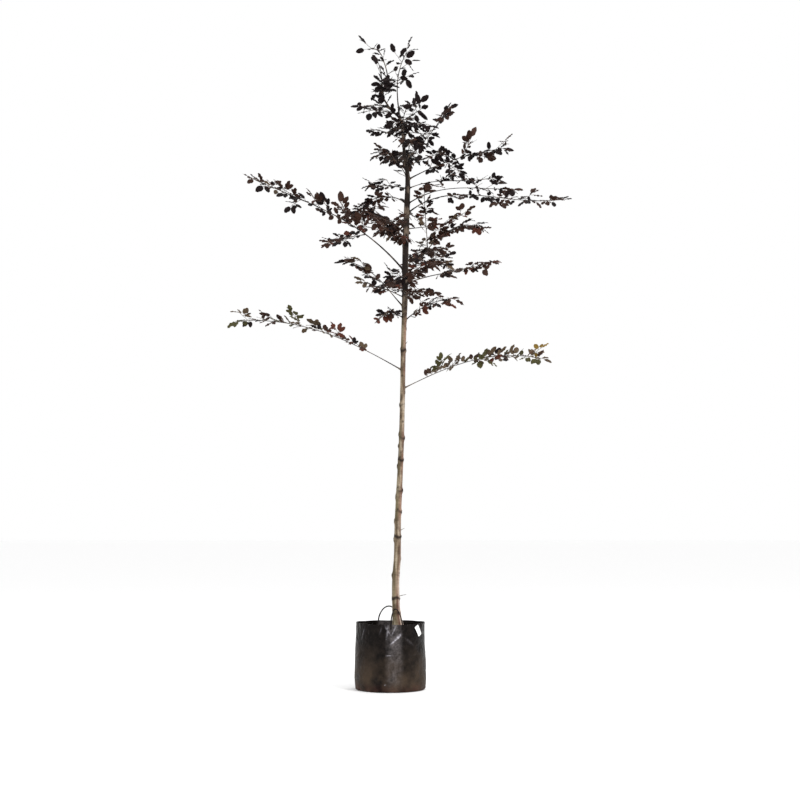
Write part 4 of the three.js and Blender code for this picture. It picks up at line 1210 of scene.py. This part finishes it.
def sites_on(shoot, leafy, draw, past=0, size=SITE_WAYS["size"], hang=DROOP):
    """A site at every step from a shoot's tip back, the first of them a part of a step past the tip; one at
    the very tip lies along the shoot."""
    sites = []
    for number in range(max(1, int(shoot["length"] * leafy / SITE["step"]))):
        along = 1 - (number + past) * SITE["step"] / shoot["length"]
        ahead, lift, across = frame_at(shoot["way"](along), shoot["side"])
        hand = 1 if number % 2 else -1
        turn = np.radians(within(draw, SITE_WAYS["turn"]) * hand if number + past
                          else within(draw, SITE_WAYS["ahead"]))
        droop = within(draw, hang)
        roll = np.radians(within(draw, SITE_WAYS["roll"]))
        long = LEAF_LONG * within(draw, size)
        out = unit(ahead * np.cos(turn) + across * np.sin(turn) - droop * UP)
        wide = turned(unit(np.cross(out, lift)), out, roll)
        sites.append(dict(root=shoot["point"](along), out=out, wide=wide, long=long, hand=hand))
    return sites


def twig_between(foot, tip, **rest):
    """A straight twig, with its point and its direction at each share of it."""
    return dict(foot=foot, tip=tip, point=lambda share: foot + (tip - foot) * share,
                way=lambda share: unit(tip - foot), **rest)


def twigs_on(stalk, branch, draw):
    """The side twigs of a stalk, shorter towards its end, each with its sites."""
    count = max(2, int(stalk["length"] * branch["close"] / TWIG["step"] + 0.5))
    twigs = []
    for number in range(count):
        along = (number + within(draw, TWIG_WAYS["place"])) / count
        ahead, lift, across = frame_at(stalk["way"](along), stalk["side"])
        hand = 1 if number % 2 else -1
        turn = np.radians(within(draw, TWIG_WAYS["turn"]))
        roll = np.radians(within(draw, TWIG_WAYS["roll"]) * hand)
        reach = branch["spread"] * (1 - TWIG["shorten"] * along) * within(draw, TWIG_WAYS["size"])
        length = max(TWIG["least"], reach)
        curl = within(draw, TWIG_WAYS["curl"])
        out = ahead * np.cos(turn) + turned(across * hand, ahead, roll) * np.sin(turn)
        foot = stalk["point"](along)
        radius = TWIG["fork"] * (stalk["radius"] + (STALK_TIP - stalk["radius"]) * along)
        twig = twig_between(foot, foot + out * length + UP * curl * length, side=unit(np.cross(lift, out)),
                            length=length, radius=radius)
        twigs.append(dict(twig, sites=sites_on(twig, TWIG["leafy"], draw)))
    return twigs


def edge_of(leaf):
    """The places of a leaf that are tested."""
    along, across = SITE_CHECKS.T[..., None] * leaf["long"]
    return leaf["root"] + along * leaf["out"] + across * SITE["wide"] / 2 * leaf["wide"]


def crowded(middle, others, apart):
    """Whether a place lies closer than that to any of the others."""
    return any(np.linalg.norm(other - middle) < apart for other in others)


def settle_sites(sprays, middles, crowd, index):
    """The sites that stay: those whose leaf would leave its own space are skipped, and so is one whose middle
    is too close to one before it."""
    kept = []
    for spray, sites in enumerate(sprays):
        for site in sites:
            middle = site["root"] + site["out"] * site["long"] * SITE["middle"]
            if not crowded(middle, middles, site["long"] * crowd) and stays(edge_of(site), index):
                middles.append(middle)
                kept.append(dict(site, spray=spray))
    return kept


def grow(branch, index, fine):
    """A branch's twigs and its sites for sprigs, by the rule, and then the finer sprigs between them."""
    draw = seeded(FIRST_SEED + index)
    stalks = branch["stalks"]
    twigs = [twig for stalk in stalks for twig in twigs_on(stalk, branch, draw)]
    twigs = [twig for twig in twigs if stays(twig["point"](TWIG_CHECKS[:, None]), index)]
    sprays = [sites_on(stalk, STALK_LEAFY, draw) for stalk in stalks] + [twig["sites"] for twig in twigs]
    middles = []
    kept = settle_sites(sprays, middles, SITE["crowd"], index)
    sets, size, level, apart = [row for height, *row in FINER if branch["at"] >= height][-1]
    sets, level, apart, droop = DIFFERENT.get(branch["name"], (sets, level, apart, DROOP))
    for past in SETS[:sets]:
        between = [sites_on(shoot, FINER_LEAFY, fine, past, size, droop) for shoot in stalks + twigs]
        kept += settle_sites(between, middles, FINER_CROWD, index)
    return twigs, [dict(site, level=within(fine, level), apart=apart) for site in kept]


def sprig_leaves(site, index, others, fine):
    """The leaves of a sprig, which turns its own plane towards the level: one at its tip, and one at its
    side, each turned a little in that plane, rolled about its midrib, the less the more it is level, and
    tilted. A leaf that doesn't stay is skipped, and so is one whose middle is too close to another's."""
    level = unit(np.cross(UP, site["out"]))
    level *= site["level"] * np.sign(level @ site["wide"])
    broad = unit(site["wide"] + level)
    face = np.cross(broad, site["out"])
    leaves = []
    for kind in SPRIG_LEAVES:
        turn = np.radians(within(fine, kind["turn"])) * site["hand"]
        roll = np.radians(within(fine, kind["roll"])) / (1 + site["level"])
        tilt = within(fine, kind["tilt"])
        out = unit(site["out"] * np.cos(turn) - broad * np.sin(turn) + face * tilt)
        wide = turned(unit(np.cross(out, face)), out, roll)
        start = site["root"] + site["out"] * kind["foot"] * site["long"]
        leaf = dict(start=start, root=start + out * PETIOLE * site["long"], out=out, wide=wide,
                    long=kind["long"] * site["long"], shape=[next(fine) for _ in range(4)])
        middle = leaf["root"] + out * leaf["long"] / 2
        if not crowded(middle, others, leaf["long"] * site["apart"]) and stays(edge_of(leaf), index):
            others.append(middle)
            leaves.append(leaf)
    return leaves


# Tints of the leaves, dealt out by spray: from near black in the top to russet and brown lower down, with
# olive and gold only on the two low branches. Each band gives the height of a branch's foot that it starts
# at, and the share of its sprays that each tint takes.
TINTS = {
    "plum": (32, 25, 25),
    "purple_brown": (60, 42, 35),
    "russet": (84, 48, 38),
    "brown": (86, 72, 57),
    "olive": (74, 71, 45),
    "gold": (136, 110, 54),
}
BANDS = [
    (0, (0.1, 0.28, 0.07, 0.35, 0.2, 0)),
    (1888, (0.25, 0.5, 0.15, 0.1, 0, 0)),
    (2168, (0.27, 0.52, 0.15, 0.06, 0, 0)),
    (2568, (0.68, 0.32, 0, 0, 0, 0)),
    (2888, (0.93, 0.07, 0, 0, 0, 0)),
    (3020, (1, 0, 0, 0, 0, 0)),
]
TIP_BAND = (0, 0.1, 0.05, 0.2, 0.35, 0.3)  # the last of the low right branch
TIP_REACH = 0.8  # how far out on it that starts
TINT_SEED = 77


def tint_of(branch, place, draw):
    """The tint of a spray, drawn by the shares of its band."""
    band = [shares for height, shares in BANDS if branch["at"] >= height][-1]
    out = np.linalg.norm(place[:2] - branch["stalks"][0]["arms"][0][:2]) / branch["reach"]
    if branch["name"] == "low_right" and out > TIP_REACH:
        band = TIP_BAND
    return int(np.searchsorted(np.cumsum(band), next(draw) * sum(band), side="right").clip(0, len(TINTS) - 1))


twigs, sprigs, leaves = [], [], []
for index, branch in enumerate(branches):
    fine = seeded(FINE_SEED + index)
    dealt = seeded(TINT_SEED + index)
    ways, sites = grow(branch, index, fine)
    twigs += ways
    spray_tints, others = {}, []
    for site in sites:
        if site["spray"] not in spray_tints or site["spray"] < len(branch["stalks"]):
            spray_tints[site["spray"]] = tint_of(branch, site["root"], dealt)
        grown = sprig_leaves(site, index, others, fine)
        sprigs += [site] if grown else []
        leaves += [dict(leaf, tint=spray_tints[site["spray"]]) for leaf in grown]

# The leader's last stretch carries sprigs of its own, left and right by turns.
LEADER_HEIGHTS = np.arange(3122, 3510, 21)
LEADER_SEED = 4999
LEADER_TURN = (38, 74)
LEADER_ROLL = (-60, 60)
LEADER_SIZE = (0.8, 1.15)
LEADER_LEVEL = (0, 0.6)
LEADER_APART = 0.56
fine, others = seeded(LEADER_SEED), []
for number, place in enumerate(stem_place(LEADER_HEIGHTS)):
    hand = 1 if number % 2 else -1
    ahead, lift, _ = frame_at(unit(stem_point(place + HAIR) - stem_point(place - HAIR)), BACK)
    turn = np.radians(within(fine, LEADER_TURN))
    roll = np.radians(within(fine, LEADER_ROLL))
    out = ahead * np.cos(turn) + turned(lift * hand, ahead, roll) * np.sin(turn)
    long = LEAF_LONG * within(fine, LEADER_SIZE)
    site = dict(root=stem_point(place), out=out, wide=unit(np.cross(out, ahead)), hand=hand, long=long,
                level=within(fine, LEADER_LEVEL), apart=LEADER_APART)
    grown = sprig_leaves(site, None, others, fine)
    sprigs += [site] if grown else []
    leaves += [dict(leaf, tint=0) for leaf in grown]

# Twigs, sprigs and leaf stalks are slender rods of brown wood. A twig strays a little from side to side as it
# passes its leaves.
TWIG_RINGS = 13
TWIG_SIDES = 7
TWIG_STRAY = 0.8  # of its own radius
TWIG_FOOT = 0.5  # how much thicker its foot is
TWIG_FOOT_REACH = 0.05  # and how far along it that reaches
STALK_RINGS = 4  # of a sprig or a leaf's stalk
STALK_SIDES = 5
SPRIG_RADII = (1.05, 0.75)
SPRIG_ARCH = 0.02  # of its length
PETIOLE_RADII = (0.7, 0.5)
PETIOLE_ARCH = 0.04
PETIOLE_IN = 2  # how far it runs on into the leaf
WOOD_BROWN = (56, 43, 37)
WOOD_GREY = (78, 67, 60)
MASSES = [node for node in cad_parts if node.startswith("leaves_")]


def column(rows, key):
    """One entry of every row, as an array with one row each."""
    entries = np.array([row[key] for row in rows])
    return entries.reshape(len(rows), -1)


def twig_tubes():
    """The twigs: straight, with a sine wave from side to side, tapering from a thicker foot."""
    share = np.linspace(0, 1, TWIG_RINGS)
    foot, tip, side, long, girth = (column(twigs, key) for key in ("foot", "tip", "side", "length", "radius"))
    stray = TWIG_STRAY * girth * np.sin(share * long * np.pi / SITE["step"])
    paths = foot[:, None] + share[:, None] * (tip - foot)[:, None] + stray[..., None] * side[:, None]
    radii = girth * (1 + (TWIG["tip"] - 1) * share + TWIG_FOOT * np.exp(-share / TWIG_FOOT_REACH))
    return tubes(paths, radii[..., None], TWIG_SIDES, side)


def stalk_rods(starts, ends, arch, radii):
    """Slender rods from one point to another that taper from one radius to the other, with an arch that is a
    share of their length."""
    ways = ends - starts
    share = np.linspace(0, 1, STALK_RINGS)
    high = arch * np.linalg.norm(ways, axis=-1, keepdims=True)
    return rods(starts, ways, share, np.interp(share, [0, 1], radii), STALK_SIDES, np.cross(ways, UP), high)


def wood_finish():
    """The bark of this year's and last year's wood: brown that goes grey in patches, with a slight shine."""
    material, spot = begun("twig_wood")
    grey = ramp(noise(spot, 26.0, 4.0), 0.4, 0.62)
    shade = mixed(grey, color(WOOD_BROWN), color(WOOD_GREY))
    grain = grainy(shade, spot, 240.0, 0.2, 0.0004)
    return finished(material, Roughness=0.6, Specular_IOR_Level=0.3, **grain)


sprig_foot = column(sprigs, "root")
sprig_tip = sprig_foot + column(sprigs, "out") * (SPRIG * column(sprigs, "long"))
petiole_tip = column(leaves, "root") + PETIOLE_IN * column(leaves, "out")
wood = wood_finish()
rods_of_wood = {
    "twigs": twig_tubes(),
    "sprigs": stalk_rods(sprig_foot, sprig_tip, SPRIG_ARCH, SPRIG_RADII),
    "leaf_stalks": stalk_rods(column(leaves, "start"), petiole_tip, PETIOLE_ARCH, PETIOLE_RADII),
}
for name, (points, faces) in rods_of_wood.items():
    fit(lay(name, points, faces, crisp=60), wood, "foliage", *MASSES)

# ---------------------------------------------------------------- the leaves
# Beech leaves of a life's size: oval, pointed, a little folded along the midrib, with a wavy margin and
# straight side veins. Each is a closed blade, thickest at its midrib, and each tint is one piece.

LEAF_ROWS = np.array([0.1, 0.27, 0.47, 0.68, 0.86])  # shares of the length that the rows of points lie at
LEAF_COLUMNS = np.array([-1, -0.52, 0, 0.52, 1])
LEAF_WIDE = 0.6  # width as a share of the length
LEAF_FOLD = (-0.02, 0.2)  # how far the margin stands above the midrib, as a share of the half width
LEAF_CURL = (-0.05, 0.2)  # how far the point hangs, as a share of the length
LEAF_LEAN = (-0.06, 0.06)  # how far the point leans to a side, as a share of the length
LEAF_WAVE = 0.055  # height of the margin's waves, as a share of the length
LEAF_THICK = 0.35  # half thickness at the midrib
VEINS = 8
LEAF_ALONG, LEAF_ACROSS = np.meshgrid(LEAF_ROWS, LEAF_COLUMNS, indexing="ij")


def leaf_outline(share):
    """Half width of a leaf along its length: a sine whose crest is drawn towards the foot, flattened by a
    root."""
    return np.sin(np.pi * share**0.9) ** 0.56


def leaf_blades(rows):
    """The leaves' points: each goes out along the midrib by its row's share of the length, and to the side by
    its column's share of the half width there. It rises with the fold, falls with the square of the share by
    the curl, leans to a side the same way, and waves at the margin, up and down by turns. The upper face
    stands above that by a half thickness that dies out towards the margin, and the lower face lies below."""
    root, out, wide, long = (column(rows, key)[:, None, None] for key in ("root", "out", "wide", "long"))
    face = np.cross(wide, out)
    ends = np.array([LEAF_FOLD, LEAF_CURL, (0, 2 * np.pi), LEAF_LEAN])
    fold, curl, phase, lean = (ends[:, 0] + column(rows, "shape") * np.ptp(ends, axis=1)).T[..., None, None]
    half = LEAF_WIDE / 2 * leaf_outline(LEAF_ALONG)
    wave = np.sin(np.pi * LEAF_ALONG * 5.2 + phase + 1.3 * np.sign(LEAF_ACROSS))
    rise = fold * np.abs(LEAF_ACROSS) * half + LEAF_WAVE * LEAF_ACROSS**2 * wave - curl * LEAF_ALONG**2
    spread = LEAF_ACROSS * half + lean * LEAF_ALONG**2
    sheet = root + long * (LEAF_ALONG[..., None] * out + spread[..., None] * wide + rise[..., None] * face)
    body = ((1 - LEAF_ACROSS**2) * LEAF_THICK)[..., None] * face
    tip = root + long * (out + lean[..., None] * wide - curl[..., None] * face)
    parts = (root, tip, sheet + body, (sheet - body)[:, :, 1:-1])
    return np.concatenate([part.reshape(len(rows), -1, 3) for part in parts], 1)


def leaf_faces():
    """A leaf's faces: the upper grid with a fan of triangles at its foot and at its point, and the same for
    the lower grid, whose margin is the upper one's."""
    rows, columns = LEAF_ALONG.shape
    upper = 2 + np.arange(rows * columns).reshape(rows, columns)
    lower = upper.copy()
    lower[:, 1:-1] = 2 + rows * columns + np.arange(rows * (columns - 2)).reshape(rows, -1)
    quads, fans = [], []
    for grid, way in ((upper, 1), (lower, -1)):
        quad = [grid[:-1, :-1], grid[:-1, 1:], grid[1:, 1:], grid[1:, :-1]]
        quads.append(np.stack(quad, -1).reshape(-1, 4)[:, ::way])
        foot = np.stack([np.zeros(columns - 1, int), grid[0, 1:], grid[0, :-1]], -1)
        point = np.stack([np.ones(columns - 1, int), grid[-1, :-1], grid[-1, 1:]], -1)
        fans += [foot[:, ::way], point[:, ::way]]
    return [np.concatenate(quads), np.concatenate(fans)]


def leaf_places():
    """Each point's place on its leaf: across from 0 to 1, and along from the foot to the point."""
    upper = np.stack([0.5 + LEAF_ACROSS / 2, LEAF_ALONG], -1)
    return np.concatenate([[[0.5, 0], [0.5, 1]], upper.reshape(-1, 2), upper[:, 1:-1].reshape(-1, 2)])


def leaf_finish(name, base):
    """A leaf's skin: one tint, a little uneven from leaf to leaf, half glossy, with side veins that run out
    and up from the midrib and stand as a fine relief."""
    material, spot = begun(name)
    shade, _ = uneven(base, spot, 16.0, 0.22)
    place = add(spot.id_data, "UVMap", {}, uv_map="surface")
    x, y, _ = add(spot.id_data, "SeparateXYZ", {0: place}).node.outputs
    away = worked("ABSOLUTE", worked("SUBTRACT", x, 0.5))
    slant = worked("MULTIPLY_ADD", away, -0.5, y)
    veins = worked("SINE", worked("MULTIPLY", slant, VEINS * 2 * np.pi))
    normal = bumped(veins, 0.0005)
    return finished(material, Base_Color=shade, Roughness=0.5, Specular_IOR_Level=0.04, Normal=normal)


places = leaf_places()
for number, (tint, base) in enumerate(TINTS.items()):
    rows = [leaf for leaf in leaves if leaf["tint"] == number]
    points, faces = leaf_blades(rows).reshape(-1, 3), copies(leaf_faces(), len(rows), len(places))
    blades = lay("leaves_" + tint, points, faces, np.tile(places, (len(rows), 1)), crisp=75)
    fit(blades, leaf_finish("leaf_" + tint, color(base)), "foliage", *MASSES)

# Long pointed buds stand in the leaves' axils.
BUD_LONG = 9
BUD_PLACES = np.array([0, 0.35, 0.7, 1])
BUD_RADII = [0.5, 1.25, 0.95, 0.12]
BUD_SIDES = 5
BUD_BROWN = (104, 72, 50)
bud_side = column(leaves, "wide")
bud_ways = BUD_LONG * unit(column(leaves, "out") + 0.9 * np.cross(bud_side, column(leaves, "out")))
bud_parts = rods(column(leaves, "start"), bud_ways, BUD_PLACES, BUD_RADII, BUD_SIDES, bud_side)
bud_scales = plain_finish("bud_scales", BUD_BROWN, 300.0, 0.3, 0.0004, Roughness=0.5, Specular_IOR_Level=0.3)
fit(lay("buds", *bud_parts, crisp=75), bud_scales, "foliage", *MASSES)
